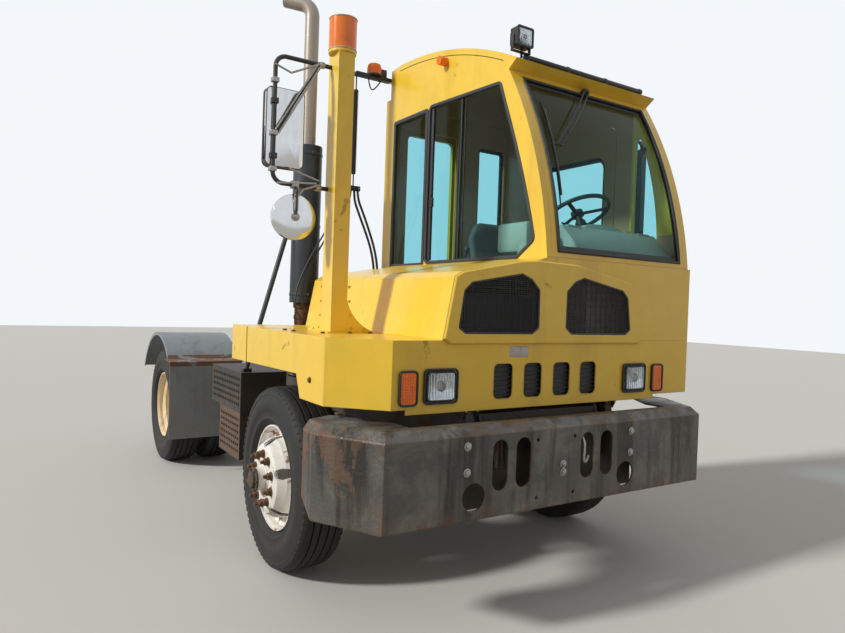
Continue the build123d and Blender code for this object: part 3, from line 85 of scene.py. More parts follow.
def addCamera():
    yaw, pitch, roll = (math.radians(camera[turn]) for turn in ("yaw", "pitch", "roll"))
    forward = Vector((math.sin(yaw) * math.cos(pitch), math.cos(yaw) * math.cos(pitch), math.sin(pitch)))
    levelRight = Vector((math.cos(yaw), -math.sin(yaw), 0))
    levelUp = levelRight.cross(forward)
    right = levelRight * math.cos(roll) - levelUp * math.sin(roll)
    up = levelRight * math.sin(roll) + levelUp * math.cos(roll)
    bpy.ops.object.camera_add(location=at(*camera["eye"]))
    eye = bpy.context.object
    eye.rotation_euler = Matrix((right, up, -forward)).transposed().to_euler()
    eye.data.sensor_width = camera["sensorWidth"]
    eye.data.lens = camera["focalPixels"] * camera["sensorWidth"] / camera["pictureWidth"]
    eye.data.clip_end = camera["farthest"]
    bpy.context.scene.camera = eye


# light and floor

studio = {
    "sunTowards": (0.85, -0.14, -0.52),     # from the vehicle's right and a little behind
    "sunStrength": 2.6,
    "sunAngle": 6.0,
    "sunColour": (1.0, 0.985, 0.90),
    "skyColour": (1.0, 0.955, 0.915, 1),
    "skyStrength": 0.38,
    "backdrop": (0.90, 0.93, 0.96, 1),      # as the camera, mirrors and glass see the sky
    "floorColour": (0.66, 0.66, 0.65, 1),   # and the floor
    "floorBounce": (0.31, 0.27, 0.22, 1),
    "floorRoughness": 0.95,
    "floorSize": 60.0,
}


def addStudio():
    bpy.context.scene.view_settings.view_transform = "Standard"
    bpy.ops.object.light_add(type="SUN", location=(0, 0, 8))
    sun = bpy.context.object
    sun.rotation_euler = Vector(studio["sunTowards"]).to_track_quat("-Z", "Y").to_euler()
    sun.data.energy = studio["sunStrength"]
    sun.data.angle = math.radians(studio["sunAngle"])
    sun.data.color = studio["sunColour"]
    world = bpy.context.scene.world or bpy.data.worlds.new("studio")
    bpy.context.scene.world = world
    world.use_nodes = True
    tree = world.node_tree
    tree.nodes.clear()
    lit = addNode(tree, "Background", {"Color": studio["skyColour"], "Strength": studio["skyStrength"]})
    shown = addNode(tree, "Background", {"Color": studio["backdrop"], "Strength": 1.0})
    both = addNode(tree, "MixShader", {0: seenRays(tree), 1: lit.outputs[0], 2: shown.outputs[0]})
    feed(tree, tree.nodes.new("ShaderNodeOutputWorld").inputs["Surface"], both.outputs[0])
    bpy.ops.mesh.primitive_plane_add(size=studio["floorSize"], location=(0, 0, 0))
    floor = bpy.context.object
    floor.name = "floor"
    material, tree, shader = newMaterial("floor")
    ground = mixColour(tree, seenRays(tree), studio["floorBounce"], studio["floorColour"])
    feed(tree, shader.inputs["Base Color"], ground)
    feed(tree, shader.inputs["Roughness"], studio["floorRoughness"])
    floor.data.materials.append(material)


# node helpers

def feed(tree, socket, value):          # a link from a socket, or a plain value
    if isinstance(value, bpy.types.NodeSocket):
        tree.links.new(value, socket)
    else:
        socket.default_value = value


def addNode(tree, kind, inputs=None, **settings):
    node = tree.nodes.new("ShaderNode" + kind)
    for name, value in settings.items():
        setattr(node, name, value)
    for name, value in (inputs or {}).items():
        feed(tree, node.inputs[name], value)
    return node


def newMaterial(name):
    material = bpy.data.materials.new(name)
    material.use_nodes = True
    tree = material.node_tree
    tree.nodes.clear()
    shader = tree.nodes.new("ShaderNodeBsdfPrincipled")
    output = tree.nodes.new("ShaderNodeOutputMaterial")
    tree.links.new(shader.outputs[0], output.inputs["Surface"])
    return material, tree, shader


def newGroup(name, inputs, outputs):    # inputs: number sockets and defaults, outputs: name to kind
    group = bpy.data.node_groups.new(name, "ShaderNodeTree")
    for title, value in inputs.items():
        socket = group.interface.new_socket(name=title, in_out="INPUT", socket_type="NodeSocketFloat")
        socket.default_value = value
    for title, kind in outputs.items():
        group.interface.new_socket(name=title, in_out="OUTPUT", socket_type="NodeSocket" + kind)
    return group, group.nodes.new("NodeGroupInput"), group.nodes.new("NodeGroupOutput")


def useGroup(tree, group, **inputs):    # each word is the socket's name in lower case
    node = tree.nodes.new("ShaderNodeGroup")
    node.node_tree = group
    for name, value in inputs.items():
        feed(tree, node.inputs[name.capitalize()], value)
    return node


def mathNode(tree, operation, first, second=0.0, third=0.0):
    return addNode(tree, "Math", {0: first, 1: second, 2: third}, operation=operation).outputs[0]


def allOf(tree, first, *others):        # masks multiplied
    for other in others:
        first = mathNode(tree, "MULTIPLY", first, other)
    return first


def anyOf(tree, first, *others):        # the highest of the masks
    for other in others:
        first = mathNode(tree, "MAXIMUM", first, other)
    return first


def flip(tree, mask):
    return mathNode(tree, "SUBTRACT", 1.0, mask)


def above(tree, value, limit):
    return mathNode(tree, "GREATER_THAN", value, limit)


def below(tree, value, limit):
    return mathNode(tree, "LESS_THAN", value, limit)


def mixColour(tree, mask, first, second, blend="MIX"):
    node = addNode(tree, "Mix", data_type="RGBA", blend_type=blend)
    for index, value in ((0, mask), (6, first), (7, second)):
        feed(tree, node.inputs[index], value)
    return node.outputs[2]


def rampNode(tree, value, low, high):   # 0 below low, 1 above high
    return addNode(tree, "MapRange", {"Value": value, "From Min": low, "From Max": high}).outputs[0]


def noiseNode(tree, place, scale, detail, **inputs):
    named = {title.capitalize(): value for title, value in inputs.items()}
    return addNode(tree, "TexNoise", {"Vector": place, "Scale": scale, "Detail": detail, **named}).outputs[0]


def seenRays(tree):                     # 1 where the camera, a mirror or glass looks
    path = tree.nodes.new("ShaderNodeLightPath")
    return anyOf(tree, *(path.outputs[f"Is {kind} Ray"] for kind in ("Camera", "Glossy", "Transmission")))


# the cab's own outline

cab = {
    "right": -0.014, "left": 1.220, "rear": 2.050, "pillar": 0.090, "skin": 0.012, "gasket": 0.012,
    "shieldLow": 1.880, "shieldHigh": 2.925, "cowl": (0.200, 1.841), "visorFoot": (0.584, 2.970),
    "sagitta": 0.070, "visorTip": (0.515, 3.020), "roofRear": (1.868, 3.349), "roofSagitta": 0.083,
}


def arcOf(start, end, sagitta):         # centre and radius of the arc that bows forward or up
    start, end = Vector(start), Vector(end)
    chord = end - start
    radius = chord.length ** 2 / (8 * sagitta) + sagitta / 2
    left = Vector((-chord.y, chord.x)).normalized()
    return (start + end) / 2 - left * (radius - sagitta), radius


shieldMiddle, shieldRadius = arcOf(cab["cowl"], cab["visorFoot"], cab["sagitta"])
roofMiddle, roofRadius = arcOf(cab["visorTip"], cab["roofRear"], cab["roofSagitta"])


# effects that several finishes share

def edgeWearGroup():
    group, start, end = newGroup("edgeWear", {"Radius": 0.01, "Scale": 30.0, "Reach": 0.25},
                                 {"Mask": "Float", "Normal": "Vector"})
    rounded = addNode(group, "Bevel", {"Radius": start.outputs["Radius"]}, samples=4)
    flat = group.nodes.new("ShaderNodeNewGeometry")
    same = addNode(group, "VectorMath", {0: rounded.outputs[0], 1: flat.outputs["Normal"]}, operation="DOT_PRODUCT")
    turned = flip(group, same.outputs["Value"])
    place = group.nodes.new("ShaderNodeTexCoord").outputs["Object"]
    noise = noiseNode(group, place, start.outputs["Scale"], 4.0, roughness=0.65)
    chipped = allOf(group, turned, mathNode(group, "MULTIPLY", noise, 8.0))
    held = mathNode(group, "SUBTRACT", chipped, start.outputs["Reach"])
    feed(group, end.inputs["Mask"], rampNode(group, held, 0.0, 0.25))
    feed(group, end.inputs["Normal"], rounded.outputs[0])
    return group


def patchGroup():
    group, start, end = newGroup("patches", {"Scale": 3.0, "Cover": 0.5, "Softness": 0.12, "Stretch": 1.0},
                                 {"Mask": "Float", "Fine": "Float"})
    place = group.nodes.new("ShaderNodeTexCoord").outputs["Object"]
    long = addNode(group, "CombineXYZ", {0: 1.0, 1: 1.0, 2: start.outputs["Stretch"]}).outputs[0]
    run = addNode(group, "VectorMath", {0: place, 1: long}, operation="MULTIPLY").outputs[0]
    broad = noiseNode(group, run, start.outputs["Scale"], 7.0, roughness=0.62, distortion=0.4)
    edge = flip(group, start.outputs["Cover"])
    far = mathNode(group, "ADD", edge, start.outputs["Softness"])
    feed(group, end.inputs["Mask"], rampNode(group, rampNode(group, broad, 0.30, 0.70), edge, far))
    small = mathNode(group, "MULTIPLY", start.outputs["Scale"], 9.0)
    feed(group, end.inputs["Fine"], noiseNode(group, run, small, 5.0, roughness=0.6))
    return group


def dustGroup():                        # settles low down and on what faces up
    group, start, end = newGroup("roadDust", {"Top": 1.0, "Depth": 0.6, "Scale": 5.0}, {"Mask": "Float"})
    place = group.nodes.new("ShaderNodeTexCoord").outputs["Object"]
    height = addNode(group, "SeparateXYZ", {0: place}).outputs[2]
    share = mathNode(group, "DIVIDE", mathNode(group, "SUBTRACT", start.outputs["Top"], height), start.outputs["Depth"])
    facing = group.nodes.new("ShaderNodeNewGeometry")
    upward = addNode(group, "SeparateXYZ", {0: facing.outputs["Normal"]}).outputs[2]
    lying = mathNode(group, "MULTIPLY", rampNode(group, upward, 0.6, 1.0), 0.45)
    noise = noiseNode(group, place, start.outputs["Scale"], 6.0, roughness=0.6)
    settled = anyOf(group, rampNode(group, share, 0.0, 1.0), lying)
    feed(group, end.inputs["Mask"], allOf(group, settled, rampNode(group, noise, 0.30, 0.68)))
    return group


def grainGroup():
    group, start, end = newGroup("grain", {"Scale": 200.0, "Coarse": 4.0, "Broad": 0.3}, {"Height": "Float"})
    place = group.nodes.new("ShaderNodeTexCoord").outputs["Object"]
    fine = noiseNode(group, place, start.outputs["Scale"], 3.0)
    broad = noiseNode(group, place, start.outputs["Coarse"], 2.0)
    swell = mathNode(group, "MULTIPLY", broad, start.outputs["Broad"])
    feed(group, end.inputs["Height"], mathNode(group, "ADD", fine, swell))
    return group


effects = {"wear": edgeWearGroup(), "patches": patchGroup(), "dust": dustGroup(), "grain": grainGroup()}


# where a finish changes on one piece: each mask is 1 there

masks = {
    "bumperEnds": (1.00, 1.30, 0.9), "bumperFoot": (0.61, 0.08, 0.8), "bumperTop": (0.93, 0.95, 0.5),
    "bumperEverywhere": 0.08, "pipeFoot": 2.684, "stepTop": 0.7575, "stepOuter": -1.094,
    "cowlTop": 1.846, "plateBack": 0.1885, "pillarX": 1.105, "pillarY": 0.655, "pillarZ": 2.072,
    "notchY": 1.980, "notchZ": 3.1190, "lugsX": (-0.498, 0.530), "lugHalf": 0.062, "lugsY": (0.1905, 0.290),
    "lugsTop": 1.075, "flapY": 3.785, "flapZ": (0.940, 1.030), "doorSkin": 0.0072, "wiresY": (0.1725, 0.1766),
}


def placeAxes(tree):                    # X, the distance behind the bumper's face, and Z
    place = addNode(tree, "SeparateXYZ", {0: tree.nodes.new("ShaderNodeTexCoord").outputs["Object"]})
    return place.outputs[0], mathNode(tree, "SUBTRACT", place.outputs[1], noseY), place.outputs[2]


def between(tree, value, limits):
    return allOf(tree, above(tree, value, limits[0]), below(tree, value, limits[1]))


def bumperEnds(tree):                   # rust gathers at the ends and along the lower edge
    x, y, z = placeAxes(tree)
    (start, full, most), (foot, fade, footMost), (topStart, topFull, topMost) = (
        masks[part] for part in ("bumperEnds", "bumperFoot", "bumperTop"))
    ends = mathNode(tree, "MULTIPLY", rampNode(tree, mathNode(tree, "ABSOLUTE", x), start, full), most)
    low = mathNode(tree, "MULTIPLY", rampNode(tree, mathNode(tree, "SUBTRACT", foot, z), 0.0, fade), footMost)
    high = mathNode(tree, "MULTIPLY", rampNode(tree, z, topStart, topFull), topMost)
    return mathNode(tree, "ADD", anyOf(tree, ends, low, high), masks["bumperEverywhere"])


def abovePipe(tree):                    # the bare upper pipe
    return above(tree, placeAxes(tree)[2], masks["pipeFoot"])


def lowerStep(tree):                    # outer panel of the lower step, which shows its rust colour; the rest of the box is painted near-black as the deck's shadow
    x, y, z = placeAxes(tree)
    return allOf(tree, below(tree, z, masks["stepTop"]), below(tree, x, masks["stepOuter"]))


def cabInsidePaintedShade(tree):                    # the faces inside the cab and the windows' reveals, where the yellow is painted brown as painted shade
    x, y, z = placeAxes(tree)
    skin = cab["skin"]
    within = allOf(tree, between(tree, x, (cab["right"] + skin, cab["left"] - skin)),
                   below(tree, y, cab["rear"] - skin))
    under = []
    for (middleY, middleZ), radius in ((shieldMiddle, shieldRadius), (roofMiddle, roofRadius)):
        run = mathNode(tree, "POWER", mathNode(tree, "SUBTRACT", y, middleY), 2.0)
        rise = mathNode(tree, "POWER", mathNode(tree, "SUBTRACT", z, middleZ), 2.0)
        under.append(below(tree, mathNode(tree, "ADD", run, rise), (radius - skin) ** 2))
    high = above(tree, z, masks["cowlTop"])
    front = anyOf(tree, allOf(tree, high, under[0]), allOf(tree, flip(tree, high), above(tree, y, masks["plateBack"])))
    pillar = allOf(tree, above(tree, x, masks["pillarX"]), below(tree, y, masks["pillarY"]),
                   above(tree, z, masks["pillarZ"]))
    notch = allOf(tree, above(tree, y, masks["notchY"]), above(tree, z, masks["notchZ"]))
    return allOf(tree, within, flip(tree, pillar), flip(tree, notch), front, under[1])


def tiltLugs(tree):                     # the bare ears that the cab tilts on
    x, y, z = placeAxes(tree)
    near = [below(tree, mathNode(tree, "ABSOLUTE", mathNode(tree, "SUBTRACT", x, middle)), masks["lugHalf"])
            for middle in masks["lugsX"]]
    return allOf(tree, between(tree, y, masks["lugsY"]), below(tree, z, masks["lugsTop"]), anyOf(tree, *near))


def flapTop(tree):                      # rust runs down from the flap's shelf and the arch's edge
    x, y, z = placeAxes(tree)
    return allOf(tree, below(tree, y, masks["flapY"]), between(tree, z, masks["flapZ"]))


def doorInsidePaintedShade(tree):                   # the sliding door's inner face, where the yellow is painted brown as painted shade
    return below(tree, placeAxes(tree)[1], cab["rear"] + masks["doorSkin"])


def meshWires(tree):                    # the wires set back in the mesh windows
    return between(tree, placeAxes(tree)[1], masks["wiresY"])


# finishes: colours are linear, lengths in metres

plainFinish = {
    "second": None, "patchScale": 2.0, "patchCover": 0.45, "patchShare": 0.5,
    "stain": (0.05, 0.035, 0.02), "stainShare": 0.0, "stainScale": 3.0, "stainCover": 0.4, "stainStretch": 0.12,
    "dust": (0.36, 0.30, 0.23), "dustShare": 0.3, "dustTop": 0.9, "dustDepth": 0.8,
    "rust": (0.16, 0.055, 0.02), "rustShare": 0.0, "rustScale": 4.0, "rustCover": 0.35, "rustStretch": 1.0,
    "bare": (0.12, 0.07, 0.045), "bareShare": 0.5, "bareReach": 0.3, "edgeRadius": 0.004, "bareScale": 40.0,
    "roughness": 0.45, "roughMore": 0.35, "metallic": 0.0, "coat": 0.0,
    "grainScale": 180.0, "grainBroad": 0.3, "grainDepth": 0.0004,
}

finishes = {
    "yellowPaint": {
        "base": (0.96, 0.645, 0.050), "second": (0.96, 0.68, 0.075), "patchScale": 0.9, "patchShare": 0.55,
        "stainShare": 0.16, "stain": (0.34, 0.19, 0.05), "stainCover": 0.42, "dustShare": 0.22, "dustTop": 1.20,
        "dustDepth": 0.5, "dust": (0.50, 0.38, 0.20), "edgeRadius": 0.006, "roughness": 0.33, "coat": 0.25,
        "grainBroad": 2.2, "grainScale": 260.0, "grainDepth": 0.0002, "rustShare": 0.5, "rustCover": 0.10,
        "rustScale": 7.0,
        "bare": (0.20, 0.10, 0.04), "bareShare": 0.35, "bareReach": 0.5,
    },
    "chassisPaint": {
        "base": (0.022, 0.021, 0.020), "second": (0.05, 0.042, 0.035), "dust": (0.19, 0.15, 0.115),
        "dustShare": 0.75, "dustTop": 1.3, "dustDepth": 0.9, "rustShare": 0.75, "rustCover": 0.30,
        "rust": (0.13, 0.05, 0.022), "roughness": 0.55, "bareShare": 0.7, "grainDepth": 0.0012,
    },
    "bumperSteel": {
        "base": (0.100, 0.101, 0.099), "second": (0.225, 0.218, 0.185), "patchScale": 4.5, "patchShare": 0.9,
        "patchCover": 0.5, "stain": (0.026, 0.022, 0.018), "stainShare": 0.85, "stainScale": 9.0,
        "stainStretch": 0.08, "stainCover": 0.5,
        "rustShare": 0.75, "rustCover": 0.46, "rustScale": 8.0, "rust": (0.155, 0.080, 0.045), "rustWhere": bumperEnds,
        "rustStretch": 0.35,
        "roughness": 0.34, "roughMore": 0.4, "metallic": 0.30, "bare": (0.24, 0.12, 0.06), "bareShare": 0.8,
        "bareReach": 0.2, "edgeRadius": 0.012, "grainDepth": 0.0025, "grainScale": 60.0, "grainBroad": 6.0,
        "dustShare": 0.35, "dustTop": 0.75, "dustDepth": 0.35,
    },
    "oldCasting": {
        "base": (0.060, 0.042, 0.032), "second": (0.13, 0.075, 0.045), "patchScale": 14.0, "patchShare": 0.9,
        "rustShare": 0.7, "rustCover": 0.4, "rust": (0.19, 0.085, 0.04), "rustScale": 22.0, "roughness": 0.75,
        "grainDepth": 0.0015, "bareShare": 0.3,
    },
    "rustySteel": {
        "base": (0.135, 0.062, 0.034), "second": (0.060, 0.032, 0.022), "patchScale": 9.0, "patchShare": 0.9,
        "rustShare": 0.6, "rustCover": 0.45, "rust": (0.21, 0.088, 0.036), "rustScale": 18.0, "roughness": 0.8,
        "roughMore": 0.1, "grainScale": 120.0, "grainDepth": 0.0015, "dustShare": 0.3, "bareShare": 0.2,
    },
    "tyreRubber": {
        "base": (0.012, 0.012, 0.012), "second": (0.022, 0.021, 0.020), "patchScale": 5.0,
        "dust": (0.085, 0.076, 0.064), "dustShare": 0.09, "dustTop": 1.4, "dustDepth": 1.3, "roughness": 0.72,
        "roughMore": 0.2, "bareShare": 0.25, "bare": (0.09, 0.08, 0.07), "grainScale": 90.0, "grainDepth": 0.0010,
    },
    "whiteWheel": {
        "base": (0.93, 0.92, 0.90), "second": (0.76, 0.74, 0.69), "stain": (0.24, 0.15, 0.09), "stainShare": 0.30,
        "stainScale": 7.0, "dustShare": 0.28, "dust": (0.40, 0.33, 0.25), "dustTop": 0.9, "rustShare": 0.9,
        "rustCover": 0.22, "rustScale": 11.0, "rust": (0.22, 0.09, 0.04), "roughness": 0.42, "bareShare": 0.8,
    },
    "creamWheel": {
        "base": (0.95, 0.79, 0.53), "second": (0.76, 0.57, 0.32), "stainShare": 0.30, "stainScale": 8.0,
        "stain": (0.20, 0.11, 0.05), "dustShare": 0.22, "dust": (0.42, 0.33, 0.22), "dustTop": 0.9,
        "rustShare": 0.8, "rustCover": 0.2, "rustScale": 11.0, "roughness": 0.5, "bareShare": 0.8,
    },
    "tankAluminium": {
        "base": (0.40, 0.41, 0.42), "second": (0.30, 0.30, 0.30), "metallic": 0.85, "roughness": 0.42,
        "dustShare": 0.7, "dustTop": 1.2, "grainScale": 90.0, "grainDepth": 0.0006, "bareShare": 0.0,
    },
    "stackSteel": {
        "base": (0.040, 0.048, 0.058), "second": (0.075, 0.09, 0.105), "patchScale": 3.5, "patchShare": 0.8,
        "stainShare": 0.3, "rustShare": 0.6, "rustCover": 0.16, "rustScale": 5.0, "roughness": 0.40,
        "metallic": 0.3, "dustShare": 0.15, "grainDepth": 0.0008, "inside": (0.40, 0.35, 0.31), "where": abovePipe,
        "insideStreaks": True,
    },
    "loopPaint": {
        "base": (0.022, 0.022, 0.024), "second": (0.045, 0.043, 0.042), "patchScale": 12.0, "rustShare": 0.7,
        "rustCover": 0.16, "rustScale": 20.0, "roughness": 0.42, "bareShare": 0.5, "dustShare": 0.2,
    },
    # the near-black base is painted shade, the deck's shadow on the step box; the lower outer panel keeps its rust
    # colour
    "stepSteel": {
        "base": (0.026, 0.024, 0.023), "second": (0.060, 0.045, 0.036), "patchScale": 6.0, "patchShare": 0.7,
        "rustShare": 0.8, "rustCover": 0.30, "rustScale": 7.0, "rust": (0.16, 0.070, 0.035), "roughness": 0.62,
        "bareShare": 0.7, "dustShare": 0.5, "dustTop": 1.1, "dust": (0.22, 0.18, 0.15), "grainDepth": 0.0012,
        "inside": (0.120, 0.074, 0.052), "where": lowerStep, "insideStreaks": True,
    },
    "greasySteel": {
        "base": (0.030, 0.027, 0.024), "second": (0.14, 0.13, 0.12), "patchScale": 5.0, "patchShare": 0.7,
        "stain": (0.012, 0.010, 0.008), "stainShare": 0.8, "stainScale": 4.0, "stainStretch": 1.0, "metallic": 0.6,
        "rustShare": 0.8, "rustCover": 0.26, "rustScale": 8.0, "roughness": 0.36, "bareShare": 0.9,
        "bare": (0.30, 0.28, 0.26), "dustShare": 0.25, "grainDepth": 0.0012,
    },
    "hoseRubber": {
        "base": (0.018, 0.018, 0.020), "second": (0.034, 0.034, 0.037), "patchScale": 16.0, "roughness": 0.46,
        "dustShare": 0.3, "dustTop": 3.0, "dustDepth": 3.0, "dust": (0.16, 0.15, 0.14), "bareShare": 0.2,
        "bare": (0.08, 0.08, 0.08), "grainScale": 500.0, "grainDepth": 0.0004,
    },
    "fenderSteel": {
        "base": (0.27, 0.31, 0.35), "second": (0.20, 0.23, 0.26), "patchScale": 3.0, "patchShare": 0.7,
        "stainShare": 0.35, "rustShare": 0.9, "rustCover": 0.72, "rustScale": 7.0, "rust": (0.170, 0.075, 0.038),
        "rustWhere": flapTop, "roughness": 0.5, "metallic": 0.3, "dustShare": 0.45, "dustTop": 1.3,
        "dustDepth": 0.8, "bareShare": 0.8,
    },
    "blackPlastic": {
        "base": (0.010, 0.010, 0.011), "second": (0.018, 0.018, 0.020), "roughness": 0.5, "dustShare": 0.07,
        "dustTop": 3.0, "dustDepth": 3.0, "dust": (0.20, 0.18, 0.15), "bareShare": 0.25, "bare": (0.07, 0.07, 0.07),
        "grainScale": 420.0, "grainDepth": 0.0005,
    },
    "greyRubber": {
        "base": (0.026, 0.030, 0.040), "second": (0.045, 0.050, 0.062), "roughness": 0.6, "dustShare": 0.12,
        "dustTop": 3.0, "dustDepth": 3.0, "bareShare": 0.15, "grainScale": 300.0, "grainDepth": 0.0004,
    },
    "dashPlastic": {
        "base": (0.60, 0.58, 0.52), "second": (0.50, 0.48, 0.43), "roughness": 0.62, "dustShare": 0.2,
        "grainScale": 500.0, "grainDepth": 0.0006, "bareShare": 0.2, "bare": (0.2, 0.19, 0.17),
    },
    "paleLabel": {
        "base": (0.60, 0.61, 0.60), "second": (0.50, 0.50, 0.48), "patchScale": 14.0, "stainShare": 0.4,
        "stainScale": 20.0, "roughness": 0.40, "bareShare": 0.2, "grainDepth": 0.0001,
    },
    "seatFabric": {
        "base": (0.150, 0.155, 0.155), "second": (0.200, 0.200, 0.195), "patchScale": 6.0, "roughness": 0.95,
        "roughMore": 0.05, "dustShare": 0.25, "grainScale": 900.0, "grainDepth": 0.0012, "bareShare": 0.15,
        "bare": (0.15, 0.15, 0.15),
    },
    "polishedRod": {
        "base": (0.62, 0.63, 0.64), "second": (0.52, 0.52, 0.52), "metallic": 1.0, "roughness": 0.16,
        "roughMore": 0.3, "dustShare": 0.25, "rustShare": 0.3, "rustCover": 0.1, "bareShare": 0.0,
        "grainDepth": 0.0002,
    },
    "chrome": {
        "base": (0.70, 0.71, 0.72), "second": (0.60, 0.61, 0.62), "metallic": 1.0, "roughness": 0.13,
        "roughMore": 0.35, "stainShare": 0.2, "dustShare": 0.15, "bareShare": 0.0, "grainDepth": 0.0001,
    },
    "dullZinc": {
        "base": (0.36, 0.355, 0.34), "second": (0.25, 0.24, 0.225), "metallic": 0.8, "roughness": 0.42,
        "patchScale": 20.0, "rustShare": 0.7, "rustCover": 0.22, "rustScale": 30.0, "bareShare": 0.2,
    },
}
# For the cab and the sliding door the inside colour is painted shade: the yellow paint darkened to brown, as it looks
# in the cab's shade.
for name, inside, where in (
    ("cabPaint", (0.56, 0.33, 0.165), cabInsidePaintedShade),
    ("deckPaint", (0.028, 0.022, 0.018), tiltLugs),
    ("doorPaint", (0.50, 0.29, 0.145), doorInsidePaintedShade),
    ("grillePaint", (0.010, 0.010, 0.010), meshWires),
):
    finishes[name] = {**finishes["yellowPaint"], "inside": inside, "where": where}


def patches(tree, look, layer, softness, **more):
    scale, cover = look[layer + "Scale"], look[layer + "Cover"]
    return useGroup(tree, effects["patches"], scale=scale, cover=cover, softness=softness, **more).outputs


def buildFinish(name, look):
    look = {**plainFinish, **look}
    material, tree, shader = newMaterial(name)
    wear = useGroup(tree, effects["wear"], radius=look["edgeRadius"], scale=look["bareScale"],
                    reach=look["bareReach"]).outputs
    tone = patches(tree, look, "patch", 0.5)
    stain = patches(tree, look, "stain", 0.3, stretch=look["stainStretch"])["Mask"]
    rust = patches(tree, look, "rust", 0.10, stretch=look["rustStretch"])["Mask"]
    if "rustWhere" in look:
        rust = allOf(tree, rust, look["rustWhere"](tree))
    dust = useGroup(tree, effects["dust"], top=look["dustTop"], depth=look["dustDepth"]).outputs["Mask"]
    grain = useGroup(tree, effects["grain"], scale=look["grainScale"], broad=look["grainBroad"]).outputs["Height"]
    colour = (*look["base"], 1)
    for mask, share, over in ((tone["Mask"], "patchShare", look["second"] or look["base"]),
                              (stain, "stainShare", look["stain"]), (dust, "dustShare", look["dust"]),
                              (rust, "rustShare", look["rust"]), (wear["Mask"], "bareShare", look["bare"])):
        if look[share]:
            colour = mixColour(tree, mathNode(tree, "MULTIPLY", mask, look[share]), colour, (*over, 1))
    # the colour where the piece's mask is 1; on the cab's and the door's insides it is painted shade
    if "inside" in look:
        zoneColourAndPaintedShade = (*look["inside"], 1)
        if "insideStreaks" in look:
            zoneColourAndPaintedShade = mixColour(tree, mathNode(tree, "MULTIPLY", stain, 0.6), zoneColourAndPaintedShade, (*look["rust"], 1))
        colour = mixColour(tree, look["where"](tree), colour, zoneColourAndPaintedShade)
    deeper = mixColour(tree, rampNode(tree, tone["Fine"], 0.2, 0.8), colour, (0.72, 0.70, 0.68, 1), "MULTIPLY")
    feed(tree, shader.inputs["Base Color"], mixColour(tree, 0.35, colour, deeper))
    dull = anyOf(tree, mathNode(tree, "MULTIPLY", rust, look["rustShare"]),
                 mathNode(tree, "MULTIPLY", dust, look["dustShare"]))
    uneven = mathNode(tree, "MULTIPLY_ADD", tone["Fine"], 0.16, look["roughness"] - 0.08)
    feed(tree, shader.inputs["Roughness"], mathNode(tree, "MULTIPLY_ADD", dull, look["roughMore"], uneven))
    for key, socket in (("metallic", "Metallic"), ("coat", "Coat Weight")):
        if look[key]:               # dust and rust cover the shine
            feed(tree, shader.inputs[socket], mathNode(tree, "MULTIPLY", flip(tree, dull), look[key]))
    feed(tree, shader.inputs["Coat Roughness"], 0.12)
    lifted = mathNode(tree, "MULTIPLY_ADD", rust, look["rustShare"], grain)
    bump = addNode(tree, "Bump", {"Height": lifted, "Distance": look["grainDepth"], "Normal": wear["Normal"]})
    feed(tree, shader.inputs["Normal"], bump.outputs[0])
    return material


def buildGlass(name, look):             # clear pane that lets light through to what is behind it
    material, tree, shader = newMaterial(name)
    film = useGroup(tree, effects["patches"], scale=look["filmScale"], cover=0.55, softness=0.6).outputs["Mask"]
    rough = mathNode(tree, "MULTIPLY_ADD", film, look["film"], look["roughness"])
    for socket, value in (("Base Color", (*look["tint"], 1)), ("IOR", look["ior"]), ("Roughness", rough),
                          ("Transmission Weight", 1.0)):
        feed(tree, shader.inputs[socket], value)
    path = tree.nodes.new("ShaderNodeLightPath")
    passing = anyOf(tree, path.outputs["Is Shadow Ray"], path.outputs["Is Diffuse Ray"])
    through = addNode(tree, "BsdfTransparent", {"Color": (*look["shadow"], 1)})
    both = addNode(tree, "MixShader", {0: passing, 1: shader.outputs[0], 2: through.outputs[0]})
    output = next(node for node in tree.nodes if node.type == "OUTPUT_MATERIAL")
    feed(tree, output.inputs["Surface"], both.outputs[0])
    return material


glasses = {
    "windowGlass": {"tint": (0.52, 0.82, 0.86), "ior": 1.12, "roughness": 0.0, "film": 0.03, "filmScale": 2.0,
                    "shadow": (0.78, 0.90, 0.92)},
    "lampGlass": {"tint": (0.93, 0.96, 0.97), "ior": 1.45, "roughness": 0.02, "film": 0.08, "filmScale": 30.0,
                  "shadow": (0.95, 0.95, 0.95)},
}


def buildLens(name, look):              # moulded coloured plastic, a little see-through
    material, tree, shader = newMaterial(name)
    tone = useGroup(tree, effects["patches"], scale=12.0, cover=0.5, softness=0.5).outputs
    colour = mixColour(tree, tone["Mask"], (*look["base"], 1), (*look["second"], 1))
    rough = mathNode(tree, "MULTIPLY_ADD", tone["Fine"], 0.15, 0.12)
    for socket, value in (("Base Color", colour), ("Roughness", rough), ("Transmission Weight", look["clear"]),
                          ("Coat Weight", 0.15), ("Emission Color", colour), ("Emission Strength", look["glow"])):
        feed(tree, shader.inputs[socket], value)
    return material


lenses = {
    "amberLens": {"base": (0.90, 0.20, 0.002), "second": (0.78, 0.14, 0.002), "clear": 0.04, "glow": 0.05},
    "redLens": {"base": (0.50, 0.015, 0.010), "second": (0.36, 0.010, 0.008), "clear": 0.15, "glow": 0.05},
}

materials = {}
for looks, build in ((finishes, buildFinish), (glasses, buildGlass), (lenses, buildLens)):
    for title, look in looks.items():
        materials[title] = build(title, look)
print("finishes made")

